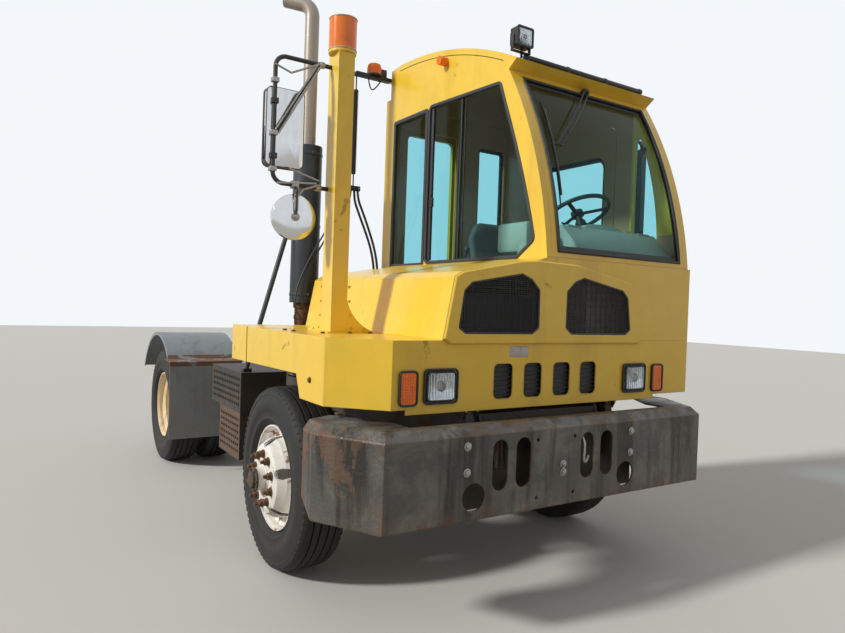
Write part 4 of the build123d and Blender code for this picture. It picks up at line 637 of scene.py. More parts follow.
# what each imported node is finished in

nodeFinishes = {
    "yellowPaint": ("hood", "mirror_post"),
    "deckPaint": ("cab_deck",),
    "doorPaint": ("rear_door",),
    "cabPaint": ("cab_front", "cab_right_wall", "cab_left_wall", "cab_rear_wall", "cab_roof", "left_door"),
    "grillePaint": ("grille_panel",),
    "greasySteel": ("fifth_wheel",),
    "hoseRubber": ("air_hoses", "hose_hanger"),
    "chassisPaint": ("frame_rails", "engine_block", "driveline", "front_axle", "rear_axle", "boom", "lift_barrels",
                     "knuckle_left", "knuckle_right", "radiator", "deck_plate"),
    "bumperSteel": ("bumper",),
    "stepSteel": ("step_box",),
    "stackSteel": ("exhaust_stack",),
    "loopPaint": ("mirrors",),
    "fenderSteel": ("rear_fenders",),
    "tankAluminium": ("fuel_tank", "air_tanks"),
    "polishedRod": ("lift_rods",),
    "dashPlastic": ("dash", "cab_floor"),
    "blackPlastic": ("steering_wheel", "wiper", "headlamps"),
    "seatFabric": ("seat",),
    "tyreRubber": ("front_tyre_left", "front_tyre_right", "rear_tyres_left", "rear_tyres_right"),
    "whiteWheel": ("front_wheel_left", "front_wheel_right"),
    "creamWheel": ("rear_wheels_left", "rear_wheels_right"),
    "windowGlass": ("cab_glass", "left_door_glass", "rear_door_glass"),
    "amberLens": ("amber_lamps",),
    "redLens": ("tail_lamps",),
}


def finishNodes():
    for title, names in nodeFinishes.items():
        for name in names:
            node = nodes[name]
            if not node.material_slots:
                node.data.materials.append(materials[title])
            for place in node.material_slots:
                place.material = materials[title]


# modelling helpers: a tuple is a place from the bumper's face, a Vector one in the frame

def placed(point):
    return point if isinstance(point, Vector) else at(*point)


def deselectAll():
    if bpy.context.object and bpy.context.object.mode != "OBJECT":
        bpy.ops.object.mode_set(mode="OBJECT")
    bpy.ops.object.select_all(action="DESELECT")


def choose(pieces):
    deselectAll()
    for piece in pieces:
        piece.select_set(True)
    bpy.context.view_layer.objects.active = pieces[0]
    return pieces[0]


def settle(piece):                      # its place goes into its mesh
    choose([piece])
    bpy.ops.object.transform_apply(location=True, rotation=True, scale=True)
    return piece


def applyModifier(piece, kind, **settings):
    choose([piece])
    modifier = piece.modifiers.new(kind.title(), kind)
    for name, value in settings.items():
        setattr(modifier, name, value)
    bpy.ops.object.modifier_apply(modifier=modifier.name)
    return piece


def roundEdges(piece, width, segments=2):       # no width leaves the edges sharp
    if not width:
        return piece
    return applyModifier(piece, "BEVEL", width=width, segments=segments, limit_method="ANGLE",
                         angle_limit=math.radians(35))


def addBlock(low, high, rounding=0.0):
    low, high = placed(low), placed(high)
    deselectAll()
    bpy.ops.mesh.primitive_cube_add(size=1, location=(low + high) / 2, scale=high - low)
    return roundEdges(settle(bpy.context.object), rounding)


def addRod(start, end, radius, sides=20, rounding=0.0):
    start, end = placed(start), placed(end)
    deselectAll()
    bpy.ops.mesh.primitive_cylinder_add(vertices=sides, radius=radius, depth=(end - start).length,
                                        location=(start + end) / 2,
                                        rotation=(end - start).to_track_quat("Z", "Y").to_euler())
    return roundEdges(settle(bpy.context.object), rounding)


def addBlocks(rows):
    return [addBlock(*row) for row in rows]


def addRods(rows):
    return [addRod(*row) for row in rows]


def addBolt(place, out, radius, length=0.012):
    place, out = placed(place), Vector(out)
    return [addRod(place, place + out * 0.003, radius * 1.35, 20, 0.0008),
            addRod(place + out * 0.002, place + out * length, radius, 6, 0.0015)]


def addTube(points, radius, closed=False, spline="POLY", sides=3):
    curve = bpy.data.curves.new("tube", "CURVE")
    curve.dimensions = "3D"
    curve.bevel_depth = radius
    curve.bevel_resolution = sides
    curve.use_fill_caps = True
    run = curve.splines.new(spline)
    run.points.add(len(points) - 1)
    for place, point in zip(run.points, points):
        place.co = (*placed(point), 1)
    run.use_cyclic_u = closed
    if spline == "NURBS":
        run.order_u = 3
        run.use_endpoint_u = not closed
        run.resolution_u = 8
    tube = bpy.data.objects.new("tube", curve)
    bpy.context.scene.collection.objects.link(tube)
    choose([tube])
    bpy.ops.object.convert(target="MESH")
    return bpy.context.object


def addLine(points, radius, sides=2, closed=False):     # a smooth rod through bends
    return addTube(points, radius, closed, "NURBS", sides)


def softCorners(corners, radius, steps=5):      # 2D outline with each corner rounded to an arc
    points = []
    for index, corner in enumerate(corners):
        here = Vector(corner)
        before = Vector(corners[index - 1]) - here
        after = Vector(corners[(index + 1) % len(corners)]) - here
        half = before.angle(after) / 2
        if math.degrees(half) > 84:             # nearly straight on
            points.append(here)
            continue
        run = min(radius / math.tan(half), before.length * 0.48, after.length * 0.48)
        inward = (before.normalized() + after.normalized()).normalized()
        middle = here + inward * (run / math.cos(half))
        first = here + before.normalized() * run - middle
        last = here + after.normalized() * run - middle
        sweep = math.atan2(first.x * last.y - first.y * last.x, first.dot(last))
        for step in range(steps + 1):
            points.append(middle + Matrix.Rotation(sweep * step / steps, 2) @ first)
    return points


def across(points, x):                  # side-view points (rearward, up) at a station x
    return [at(x, y, z) for y, z in points]


def lengthwise(points, y):              # front-view points (x, up) at a station y
    return [at(x, y, z) for x, z in points]


def rectangle(x, z, width, height):
    return [(x + sideX * width / 2, z + sideZ * height / 2) for sideX, sideZ in ((-1, -1), (1, -1), (1, 1), (-1, 1))]


def softPanel(x, z, width, height, corner, y, steps=5):         # a front-view rectangle with round corners
    return lengthwise(softCorners(rectangle(x, z, width, height), corner, steps), y)


def addOutline(points):                 # one flat face with its corners at these points
    deselectAll()
    bpy.ops.mesh.primitive_circle_add(vertices=len(points), fill_type="NGON")
    face = bpy.context.object
    for vertex, point in zip(face.data.vertices, points):
        vertex.co = point
    return face


def editAll(piece, *moves):             # each move starts with everything selected
    choose([piece])
    bpy.ops.object.mode_set(mode="EDIT")
    for move in moves:
        bpy.ops.mesh.select_all(action="SELECT")
        move()
    bpy.ops.object.mode_set(mode="OBJECT")
    return piece


def faceOut():
    bpy.ops.mesh.normals_make_consistent(inside=False)


def extrude(depth):
    return lambda: bpy.ops.mesh.extrude_region_move(TRANSFORM_OT_translate={"value": Vector(depth)})


def addSheet(points, depth, rounding=0.0):      # the outline given thickness along depth
    return roundEdges(editAll(addOutline(points), extrude(depth), faceOut), rounding)


def addFrame(points, width, depth, rounding=0.0):       # a flat ring of this width inside the points
    def cutMiddle():
        bpy.ops.mesh.inset(thickness=width)
        bpy.ops.mesh.delete(type="ONLY_FACE")

    return roundEdges(editAll(addOutline(points), cutMiddle, extrude(depth), faceOut), rounding)


def spinRound(points, axis, steps):     # a closed section turned once round an axis through the origin
    def turn():
        bpy.ops.mesh.spin(steps=steps, angle=2 * math.pi, center=(0, 0, 0), axis=axis)

    def weld():
        bpy.ops.mesh.remove_doubles(threshold=0.0001)

    return editAll(addOutline(points), lambda: bpy.ops.mesh.delete(type="ONLY_FACE"), turn, weld, faceOut)


def ringOf(count, radius, middle, shift=0.0):   # places evenly round a wheel's middle
    turns = [2 * math.pi * (index + shift) / count for index in range(count)]
    return [middle + Vector((0, math.cos(turn), math.sin(turn))) * radius for turn in turns]


def copyPiece(piece, matrix):
    twin = piece.copy()
    twin.data = piece.data.copy()
    twin.data.transform(matrix)
    if matrix.determinant() < 0:
        twin.data.flip_normals()
    bpy.context.scene.collection.objects.link(twin)
    return twin


def joinAll(pieces):
    whole = choose(pieces)
    if len(pieces) > 1:
        bpy.ops.object.join()
    return whole


def dress(pieces, name, body, finish, angle=35.0):    # one piece of all of these
    piece = joinAll(pieces)
    bpy.ops.object.shade_smooth_by_angle(angle=math.radians(angle))
    piece.name = name
    piece.data.name = name
    piece.data.materials.clear()
    piece.data.materials.append(materials[finish])
    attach(piece, body)
    return piece


def dressBlack(pieces, name, angle=35.0):       # the cab's black plastic
    return dress(pieces, name, "cab", "blackPlastic", angle)


# tyres: carcass with grooves and shoulder blocks

tyre = {
    "radius": 0.525, "halfWidth": 0.139, "bead": 0.296, "beadHalf": 0.096, "beadRound": 0.004, "steps": 96,
    "grooves": (-0.066, -0.024, 0.024, 0.066), "grooveWidth": 0.010, "grooveDepth": 0.014, "grooveSlope": 0.002,
    "crown": 0.004,
    "shoulder": ((0.006, 0.034), (0.020, 0.018), (0.046, 0.009), (0.050, 0.012), (0.085, 0.002)),    # in from both
    "wall": ((0.420, 0.0), (0.390, 0.002), (0.386, 0.005), (0.352, 0.009), (0.340, 0.006), (0.334, 0.012)),
    "foot": ((0.316, 0.010), (0.308, 0.0)),
    "blocks": 72, "blockRun": 0.026, "blockInner": (0.046, 0.024), "blockOuter": (0.013, 0.0045),
    "blockDrop": (0.001, 0.013), "blockRounding": 0.002,
    "places": (
        ("front_tyre_left", "front_wheel_left", (1.060,), 1.187),
        ("front_tyre_right", "front_wheel_right", (-1.060,), 1.187),
        ("rear_tyres_left", "rear_wheels_left", (0.728, 1.064), 4.133),
        ("rear_tyres_right", "rear_wheels_right", (-0.728, -1.064), 4.133),
    ),
}


def tyreSection():                      # radius and width of the carcass, once round
    outer, half, beadHalf = tyre["radius"], tyre["halfWidth"], tyre["beadHalf"]
    tread = []
    for groove in tyre["grooves"]:
        low, high = groove - tyre["grooveWidth"] / 2, groove + tyre["grooveWidth"] / 2
        crown = outer - tyre["crown"] * (groove / half) ** 2
        foot = crown - tyre["grooveDepth"]
        tread += [(crown, low), (foot, low + tyre["grooveSlope"]), (foot, high - tyre["grooveSlope"]), (crown, high)]
    side = [(outer - drop, half - inward) for drop, inward in tyre["shoulder"]]
    side += [(radius, half - inward) for radius, inward in tyre["wall"]]
    side += [(radius, beadHalf + more) for radius, more in tyre["foot"]]
    right = [(radius, -width) for radius, width in reversed(side)]
    bead = beadHalf - tyre["beadRound"]
    return tread + side + [(tyre["bead"], bead), (tyre["bead"], -bead)] + right


def addShoulderBlocks():                # lugs that stand out at both shoulders
    outer, half, run = tyre["radius"], tyre["halfWidth"], tyre["blockRun"] / 2
    (innerX, innerZ), (outerX, outerZ), (moveX, moveZ) = (
        tyre[key] for key in ("blockInner", "blockOuter", "blockDrop"))
    lug = addBlock(Vector((half - innerX, -run, outer - innerZ)), Vector((half - outerX, run, outer - outerZ)))
    for vertex in lug.data.vertices:    # the outer edge drops with the shoulder
        if vertex.co.x > half - 0.02:
            vertex.co.z -= moveZ
            vertex.co.x -= moveX
    roundEdges(lug, tyre["blockRounding"], 1)
    lugs = []
    for side in (-1, 1):
        turns = [2 * math.pi / tyre["blocks"] * (index + 0.25 * side) for index in range(tyre["blocks"])]
        lugs += [copyPiece(lug, Matrix.Rotation(turn, 4, "X") @ Matrix.Diagonal((side, 1, 1, 1))) for turn in turns]
    bpy.data.objects.remove(lug)
    return lugs


def addTyres():
    section = [Vector((width, 0, radius)) for radius, width in tyreSection()]
    pattern = joinAll([spinRound(section, (1, 0, 0), tyre["steps"]), *addShoulderBlocks()])
    for name, body, stations, axleY in tyre["places"]:
        ready = [copyPiece(pattern, Matrix.Translation(at(x, axleY, tyre["radius"]))) for x in stations]
        worn = dress(ready, name + ".tread", body, "tyreRubber", 40)
        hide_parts(name)
    bpy.data.objects.remove(pattern)
    print("tyres made")


# wheels: nuts and hub flanges; a run is from and to along the axle, then radius, sides and rounding

wheel = {
    "nuts": 10, "circle": 0.142, "nut": ((0, 0.005, 0.02562, 20, 0.001), (0, 0.026, 0.021, 6, 0.002),
                                         (0, 0.046, 0.011, 12, 0.002)),
    "ends": (
        {"nuts": "front_nuts_", "hub": "front_hub_cap_", "body": "front_wheel_", "axleY": 1.187, "face": 1.230,
         "hubFace": 1.281, "discs": ((-0.004, 0.007, 0.070, 40, 0.002), (-0.055, 0.024, 0.048, 40, 0.006)),
         "bolts": 6, "boltCircle": 0.060, "boltFoot": 0.004, "bolt": ((0, 0.010, 0.008, 6, 0.001),)},
        {"nuts": "rear_nuts_", "hub": "rear_axle_flange_", "body": "rear_wheels_", "axleY": 4.133, "face": 0.910,
         "hubFace": 1.038, "discs": ((-0.004, 0.010, 0.082, 40, 0.002),),
         "bolts": 8, "boltCircle": 0.066, "boltFoot": 0.008, "bolt": ((0, 0.012, 0.009, 6, 0.001),)},
    ),
}


def addRuns(places, out, runs):
    return [addRod(place + out * first, place + out * last, *rest) for place in places for first, last, *rest in runs]


def addWheelDetails():
    for word, side in (("left", 1), ("right", -1)):
        out = Vector((side, 0, 0))
        for end in wheel["ends"]:
            middle = at(side * end["face"], end["axleY"], tyre["radius"])
            nuts = addRuns(ringOf(wheel["nuts"], wheel["circle"], middle, 0.5), out, wheel["nut"])
            dress(nuts, end["nuts"] + word, end["body"] + word, "rustySteel")
            middle = at(side * end["hubFace"], end["axleY"], tyre["radius"])
            bolts = ringOf(end["bolts"], end["boltCircle"], middle + out * end["boltFoot"])
            hub = addRuns([middle], out, end["discs"]) + addRuns(bolts, out, end["bolt"])
            dress(hub, end["hub"] + word, end["body"] + word, "oldCasting")
    print("wheel details made")


# windows: gaskets, sliders and frames

def onShield(z, out=0.0):               # station of the windshield's outer curve at a height
    return shieldMiddle.x - math.sqrt((shieldRadius + out) ** 2 - (z - shieldMiddle.y) ** 2)


def onRoof(y, out=0.0):                 # height of the roof's outer curve at a station
    return roofMiddle.y + math.sqrt((roofRadius + out) ** 2 - (y - roofMiddle.x) ** 2)


shieldLook = {"steps": 16, "band": 0.022, "bandIn": -0.012, "bandThick": 0.004, "endBand": 0.032}


def addWindshieldGasket():
    low, high, steps = cab["shieldLow"], cab["shieldHigh"], shieldLook["steps"]
    heights = [low + (high - low) * step / steps for step in range(steps + 1)]
    right, left = cab["right"] + cab["pillar"], cab["left"] - cab["pillar"]
    loop = [at(right, onShield(z), z) for z in heights] + [at(left, onShield(z), z) for z in reversed(heights)]
    dressBlack([addTube(loop, cab["gasket"], True)], "windshield_gasket", 60)

    def bandPiece(x0, x1, z0, z1):
        y0, y1 = onShield(z0, shieldLook["bandIn"]), onShield(z1, shieldLook["bandIn"])
        corners = [at(x0, y0, z0), at(x1, y0, z0), at(x1, y1, z1), at(x0, y1, z1)]
        return addSheet(corners, (0, -shieldLook["bandThick"], 0))

    width, end = shieldLook["band"], shieldLook["endBand"]
    band = [bandPiece(x, x + width, first, last) for x in (right, left - width)
            for first, last in zip(heights, heights[1:])]       # it hides the pane's edge
    band += [bandPiece(right, left, z, z + end) for z in (low, high - end)]
    dressBlack(band, "windshield_band")


windowLook = {
    "stand": 0.006, "depth": 0.022, "rounding": 0.003, "big": ((0.664, 2.908), (0.455, 2.400), (0.310, 1.940)),
    "bigRear": 1.430, "bigLow": 1.853, "bigHigh": 2.940, "bigFoot": 0.458, "bigGrow": 0.012, "arcSteps": 8,
    "small": ((1.448, 1.828), (1.917, 1.828), (1.917, 2.936), (1.448, 2.936)),
    "leftDoor": ((0.900, 1.900), (1.590, 1.900), (1.590, 2.690), (0.900, 2.690)), "doorX": 1.226,
    "rear": ((0.870, 1.850), (1.150, 1.850), (1.150, 2.900), (0.870, 2.900)),
    "slider": (                         # meeting bars, stop and latch
        ((-0.010, 1.050, 1.870), (0.010, 1.060, 2.925), 0.003),
        ((-0.004, 1.016, 1.875), (0.004, 1.021, 2.920), 0.001),
        ((-0.010, 1.385, 1.870), (0.010, 1.412, 2.925), 0.003),
        ((-0.022, 1.360, 2.235), (-0.002, 1.395, 2.300), 0.004),
        ((-0.028, 1.372, 2.255), (-0.020, 1.383, 2.325), 0.003),
    ),
}


def rightWindowPoints():                # the big window's outline, its front edge an arc through three points
    grow = windowLook["bigGrow"]
    rear, low, high = windowLook["bigRear"] + grow, windowLook["bigLow"] - grow, windowLook["bigHigh"] + grow
    start, middle, end = (Vector(point) for point in windowLook["big"])
    through = 2 * middle - (start + end) / 2
    arc = []
    for step in range(windowLook["arcSteps"] + 1):
        t = step / windowLook["arcSteps"]
        point = start * (1 - t) ** 2 + through * 2 * t * (1 - t) + end * t ** 2
        arc.append((point.x - grow, point.y))
    return [(rear, low), (rear, high), (arc[0][0], arc[0][1] + grow), *arc[1:], (windowLook["bigFoot"] - grow, low)]


def addWindowFrames():
    wallX, rounding = cab["right"] - windowLook["stand"], windowLook["rounding"]
    depth = Vector((windowLook["depth"], 0, 0))
    for name, points, corner, steps, width in (
        ("right_window_rubber", rightWindowPoints(), 0.045, 5, 0.022),
        ("right_rear_window_rubber", windowLook["small"], 0.02, 4, 0.026),
    ):
        rubber = addFrame(across(softCorners(points, corner, steps), wallX), width, depth, rounding)
        dress([rubber], name, "cab", "greyRubber")
    dress(addBlocks(windowLook["slider"]), "right_window_slider", "cab", "greyRubber")
    pane = across(softCorners(windowLook["leftDoor"], 0.09, 6), windowLook["doorX"])
    door = addFrame(pane, 0.030, (-0.030, 0, 0), rounding)
    dress([door], "left_door_rubber", "left_door", "blackPlastic")
    pane = lengthwise(softCorners(windowLook["rear"], 0.04), cab["rear"] + 0.006)
    dressBlack([addFrame(pane, 0.026, (0, -windowLook["depth"], 0), rounding)], "rear_window_rubber")
    print("window frames made")


# lamps

headlamp = {
    "x": (-0.705, 0.708), "z": 1.160, "width": 0.184, "height": 0.156, "front": 0.179,
    "bezelMore": 0.020, "bowlLess": 0.012, "pane": (0.160, 0.132), "fluteX": -0.068, "flutePitch": 0.017,
    "flutes": 9, "fluteHalf": 0.060, "fluteRadius": 0.0055, "bulb": 0.026,
}


def addHeadlamps():
    front, z = headlamp["front"], headlamp["z"]
    bezels, bowls, panes, bulbs = [], [], [], []
    for x in headlamp["x"]:
        width, height = (headlamp[key] + headlamp["bezelMore"] for key in ("width", "height"))
        bezels.append(addFrame(softPanel(x, z, width, height, 0.026, front), 0.009, (0, -0.012, 0), 0.003))
        width, height = (headlamp[key] - headlamp["bowlLess"] for key in ("width", "height"))
        bezels.append(addFrame(softPanel(x, z, width, height, 0.020, front - 0.006), 0.006, (0, -0.008, 0), 0.001))
        bowls.append(addSheet(softPanel(x, z, width, height, 0.020, front - 0.002), (0, -0.001, 0)))
        panes.append(addSheet(softPanel(x, z, *headlamp["pane"], 0.018, front - 0.007), (0, -0.006, 0), 0.002))
        for step in range(headlamp["flutes"]):          # moulded in the lens
            flute, y = x + headlamp["fluteX"] + headlamp["flutePitch"] * step, front - 0.013
            panes.append(addRod((flute, y, z - headlamp["fluteHalf"]), (flute, y, z + headlamp["fluteHalf"]),
                                headlamp["fluteRadius"], 10))
        bulbs.append(addRod((x, front - 0.004, z), (x, front - 0.008, z), headlamp["bulb"], 24, 0.001))
    dressBlack(bezels, "headlamp_bezels")
    dress(bowls, "headlamp_bowls", "cab", "chrome")
    dress(bulbs, "headlamp_bulbs", "cab", "dullZinc")
    dress(panes, "headlamp_lenses", "cab", "lampGlass")


marker = {
    "x": (-0.892, 0.921), "z": 1.155, "bezel": (0.106, 0.172), "face": 0.183, "front": 0.173,
    "columns": 5, "rows": 9, "pitch": (0.0135, 0.0145), "low": (0.0058, 0.0035, 0.0062),
    "high": (0.0058, 0.001, 0.0062),
}


def addMarkers():
    bezels, prisms = [], []
    pitchX, pitchZ = marker["pitch"]
    for x in marker["x"]:
        bezel = softPanel(x, marker["z"], *marker["bezel"], 0.024, marker["face"])
        bezels.append(addFrame(bezel, 0.010, (0, -0.016, 0), 0.003))
        for column in range(marker["columns"]):
            for row in range(marker["rows"]):
                place = at(x + (column - 2) * pitchX, marker["front"], marker["z"] + (row - 4) * pitchZ)
                prisms.append(addBlock(place - Vector(marker["low"]), place + Vector(marker["high"]), 0.002))
    dressBlack(bezels, "amber_bezels")
    dress(prisms, "amber_prisms", "cab", "amberLens")


workLamp = {
    "x": 0.028, "z": 3.142, "front": 0.500, "back": 0.560, "rim": (0.126, 0.118), "bowl": (0.100, 0.092),
    "pane": (0.096, 0.088), "fins": 3, "fork": 0.066, "flutes": 8, "flutePitch": 0.012, "bulb": 0.016,
}


def addWorkLamp():
    x, z, front, back, fork = (workLamp[key] for key in ("x", "z", "front", "back", "fork"))
    rim = [addFrame(softPanel(x, z, *workLamp["rim"], 0.012, front - 0.002, 4), 0.012, (0, -0.006, 0), 0.002)]
    for shift in [0.006 * step for step in range(workLamp["fins"])]:
        rim.append(addBlock((x - 0.050, back + 0.001 + shift, z - 0.045 + shift),
                            (x + 0.050, back + 0.004 + shift, z + 0.045 - shift), 0.001))
    rim += [addBlock((x + side * fork - 0.002, 0.522, z - 0.078), (x + side * fork + 0.002, 0.546, z + 0.014), 0.001)
            for side in (-1, 1)]
    rim.append(addBlock((x - fork - 0.002, 0.520, z - 0.082), (x + fork + 0.002, 0.548, z - 0.077), 0.001))
    dressBlack(rim, "work_lamp_rim")
    bowl = addSheet(softPanel(x, z, *workLamp["bowl"], 0.008, front - 0.001, 4), (0, -0.002, 0))
    dress([bowl], "work_lamp_bowl", "cab", "chrome")
    lens = [addSheet(softPanel(x, z, *workLamp["pane"], 0.008, front - 0.0045, 4), (0, -0.002, 0), 0.0008)]
    for flute in [x - 0.042 + workLamp["flutePitch"] * step for step in range(workLamp["flutes"])]:
        lens.append(addRod((flute, front - 0.0068, z - 0.040), (flute, front - 0.0068, z + 0.040), 0.003, 8))
    dress(lens, "work_lamp_lens", "cab", "lampGlass")
    bulb = addRod((x, front - 0.0042, z), (x, front - 0.003, z), workLamp["bulb"], 20, 0.0004)
    dress([bulb], "work_lamp_bulb", "cab", "dullZinc")


beacon = {
    "middle": (-0.156, 2.010, 3.280), "radius": 0.053, "rib": 0.0022, "ribs": 6, "ribFoot": 0.014, "ribPitch": 0.009,
    "ribPoints": 24, "socket": ((-0.156, 2.010, 3.276), (-0.156, 2.010, 3.290), 0.060, 32, 0.003),
    "junction": ((-0.118, 2.000, 3.281), (-0.050, 2.040, 3.345), 0.004),
    "cable": ((-0.090, 2.020, 3.262), (-0.120, 2.050, 3.200), (-0.170, 2.045, 3.180), (-0.200, 2.020, 3.262)),
}


def levelRing(x, y, z, radius, count):  # places round an upright axis
    turns = [2 * math.pi * step / count for step in range(count)]
    return [(x + radius * math.cos(turn), y + radius * math.sin(turn), z) for turn in turns]


def addBeacon():
    x, y, z = beacon["middle"]
    ribs = [addTube(levelRing(x, y, z + beacon["ribFoot"] + beacon["ribPitch"] * step, beacon["radius"],
                              beacon["ribPoints"]), beacon["rib"], True) for step in range(beacon["ribs"])]
    dress(ribs, "beacon_ribs", "cab", "amberLens", 60)
    dressBlack([addRod(*beacon["socket"]), addBlock(*beacon["junction"]), addLine(beacon["cable"], 0.005, 3)],
               "beacon_foot")


tailLens = {"inward": 0.06, "half": 0.004, "radius": 0.046}


def addTailLenses():
    low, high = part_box("tail_lamps")
    domes = []
    for side in (-1, 1):
        middle = Vector((side * (abs(high.x) - tailLens["inward"]), high.y, (low.z + high.z) / 2))
        half = Vector((0, tailLens["half"], 0))
        domes.append(addRod(middle - half, middle + half, tailLens["radius"], 32, 0.002))
    dress(domes, "tail_lens_domes", "chassis", "redLens")


# grille: screens and rims

grille = {
    "window": ((-0.621, 1.446), (-0.577, 1.418), (-0.132, 1.418), (-0.085, 1.452), (-0.087, 1.657), (-0.147, 1.713),
               (-0.218, 1.739), (-0.545, 1.680), (-0.593, 1.636)),
    "shift": 0.024, "front": 0.164, "pitch": 0.0105, "wire": 0.0011, "uprights": (0.1695, 0.1715),
    "levels": (0.1690, 0.1710),
}


def addGrille():
    rims, screens = [], []
    wire, pitch = grille["wire"], grille["pitch"]
    for mirrored in (False, True):
        outline = list(grille["window"])
        if mirrored:
            outline = [(grille["shift"] - x, z) for x, z in reversed(outline)]
        rims.append(addFrame(lengthwise(softCorners(outline, 0.020, 4), grille["front"]), 0.010, (0, 0.010, 0), 0.002))
        for axis, (front, back) in enumerate((grille["uprights"], grille["levels"])):
            values = [point[axis] for point in outline]
            for step in range(int((max(values) - min(values)) / pitch)):
                value = min(values) + pitch * (step + 0.5)
                found = crossings(outline, axis, value)
                if axis == 0:
                    low, high = (value - wire, front, found[0]), (value + wire, back, found[-1])
                else:
                    low, high = (found[0], front, value - wire), (found[-1], back, value + wire)
                screens.append(addBlock(low, high))
    dressBlack(rims, "grille_rims")
    dressBlack(screens, "grille_screens")


def crossings(outline, axis, value):    # where a straight line meets the outline, low to high
    found = []
    for start, end in zip(outline, outline[1:] + outline[:1]):
        if (start[axis] - value) * (end[axis] - value) < 0:
            share = (value - start[axis]) / (end[axis] - start[axis])
            found.append(start[1 - axis] + (end[1 - axis] - start[1 - axis]) * share)
    return sorted(found)


# bumper: bolts and hook

bumperLook = {
    "bolts": ((-0.660, 0.894), (-0.660, 0.770), (0.489, 0.884), (0.487, 0.765), (-0.034, 0.750), (-0.032, 0.707)),
    "boltRadius": 0.016, "hookRadius": 0.009,
    "hook": ((0.140, 0.060, 0.900), (0.140, 0.020, 0.860), (0.138, 0.016, 0.800), (0.134, 0.018, 0.760),
             (0.150, 0.024, 0.735), (0.168, 0.020, 0.752), (0.166, 0.016, 0.775)),
}


def addBumperBolts():
    bolts = []
    for x, z in bumperLook["bolts"]:
        bolts += addBolt((x, 0.0, z), (0, -1, 0), bumperLook["boltRadius"])
    dress(bolts, "bumper_bolts", "chassis", "dullZinc")
    hook = addLine(bumperLook["hook"], bumperLook["hookRadius"], 3)
    dress([hook], "bumper_hook", "chassis", "dullZinc", 60)


# mirrors

mirror = {
    "loopY": 0.926, "outerX": -1.322, "lowZ": 2.180, "highZ": 2.854, "stand": 0.014, "depth": 0.048,
    "head": (-1.2525, 2.479, 0.215, 0.422), "headCorner": 0.032, "rimMore": 0.004, "rimCorner": 0.034,
    "round": (-1.197, 2.005), "bowlBack": 0.018, "armBack": 0.036,
    "bowl": ((0.0005, -0.012), (0.050, -0.011), (0.085, -0.007), (0.112, -0.0015), (0.1235, 0.004), (0.1235, 0.034),
             (0.119, 0.0375), (0.060, 0.036), (0.0005, 0.035)),         # radius and depth
    "stays": (
        ((-1.085, 2.852), (-1.318, 2.455)), ((-1.068, 2.846), (-1.300, 2.440)), ((-1.080, 2.850), (-1.240, 2.770)),
        ((-1.240, 2.770), (-1.330, 2.800)), ((-1.060, 2.215), (-1.235, 2.262)), ((-1.050, 2.195), (-1.150, 2.160)),
        ((-1.150, 2.160), (-1.205, 2.080)), ((-1.075, 2.200), (-1.300, 2.178)),
    ),
    "stayRadius": 0.0055, "clamps": (2.719, 2.440, 2.250), "collars": (-1.075, -1.045, 0.018),
}


def addMirrors():
    x, z, width, height = mirror["head"]
    loopY, depth, more = mirror["loopY"], mirror["depth"], mirror["rimMore"]
    front = loopY + mirror["stand"]
    shell = softPanel(x, z, width, height, mirror["headCorner"], front - 0.002, 6)
    dress([addSheet(shell, (0, depth - 0.004, 0), 0.008)], "mirror_shell", "cab", "chrome")
    rim = softPanel(x, z, width + more, height + more, mirror["rimCorner"], front + depth - 0.006, 6)
    dress([addFrame(rim, 0.014, (0, 0.012, 0), 0.002)], "mirror_rim", "cab", "rustySteel")
    x, z = mirror["round"]
    bowl = spinRound([Vector((radius, depth, 0)) for radius, depth in mirror["bowl"]], (0, 1, 0), 48)
    bowl.data.transform(Matrix.Translation(at(x, loopY - mirror["bowlBack"], z)))
    dress([bowl], "round_mirror_bowl", "cab", "chrome", 50)
    arm, lowZ, outerX = loopY - mirror["armBack"], mirror["lowZ"], mirror["outerX"]
    fittings = [addRod((x, arm - 0.016, z), (x, arm + 0.010, z), 0.013, 6, 0.001),
                addRod((x, arm + 0.002, z), (x, arm + 0.008, z), 0.024, 20, 0.002),
                addBlock((x - 0.020, loopY - 0.020, lowZ - 0.020), (x + 0.020, loopY + 0.018, lowZ + 0.020), 0.003),
                addBlock((x - 0.012, arm - 0.006, z + 0.030), (x + 0.012, arm + 0.008, z + 0.120), 0.003)]
    for (startX, startZ), (endX, endZ) in mirror["stays"]:
        fittings.append(addRod((startX, loopY - 0.016, startZ), (endX, loopY - 0.014, endZ), mirror["stayRadius"], 10))
    for z in mirror["clamps"]:
        fittings.append(addBlock((outerX - 0.020, loopY - 0.019, z - 0.013), (outerX + 0.018, loopY + 0.016, z + 0.013),
                                 0.003))
    for z in (mirror["highZ"], lowZ):
        innerX, lastX, radius = mirror["collars"]
        fittings.append(addRod((innerX, loopY, z), (lastX, loopY, z), radius, 20, 0.002))
    dress(fittings, "mirror_fittings", "cab", "dullZinc")


# exhaust: bands round the shield and the bare foot of the pipe

stack = {
    "x": -0.640, "y": 2.085, "shieldRadius": 0.103, "bands": (1.600, 2.100, 2.620), "lugs": (1.600, 2.620),
    "foot": ((1.384, 1.5405, 0.064, 0.001), (1.420, 1.448, 0.069, 0.003), (1.500, 1.540, 0.074, 0.004)),
}


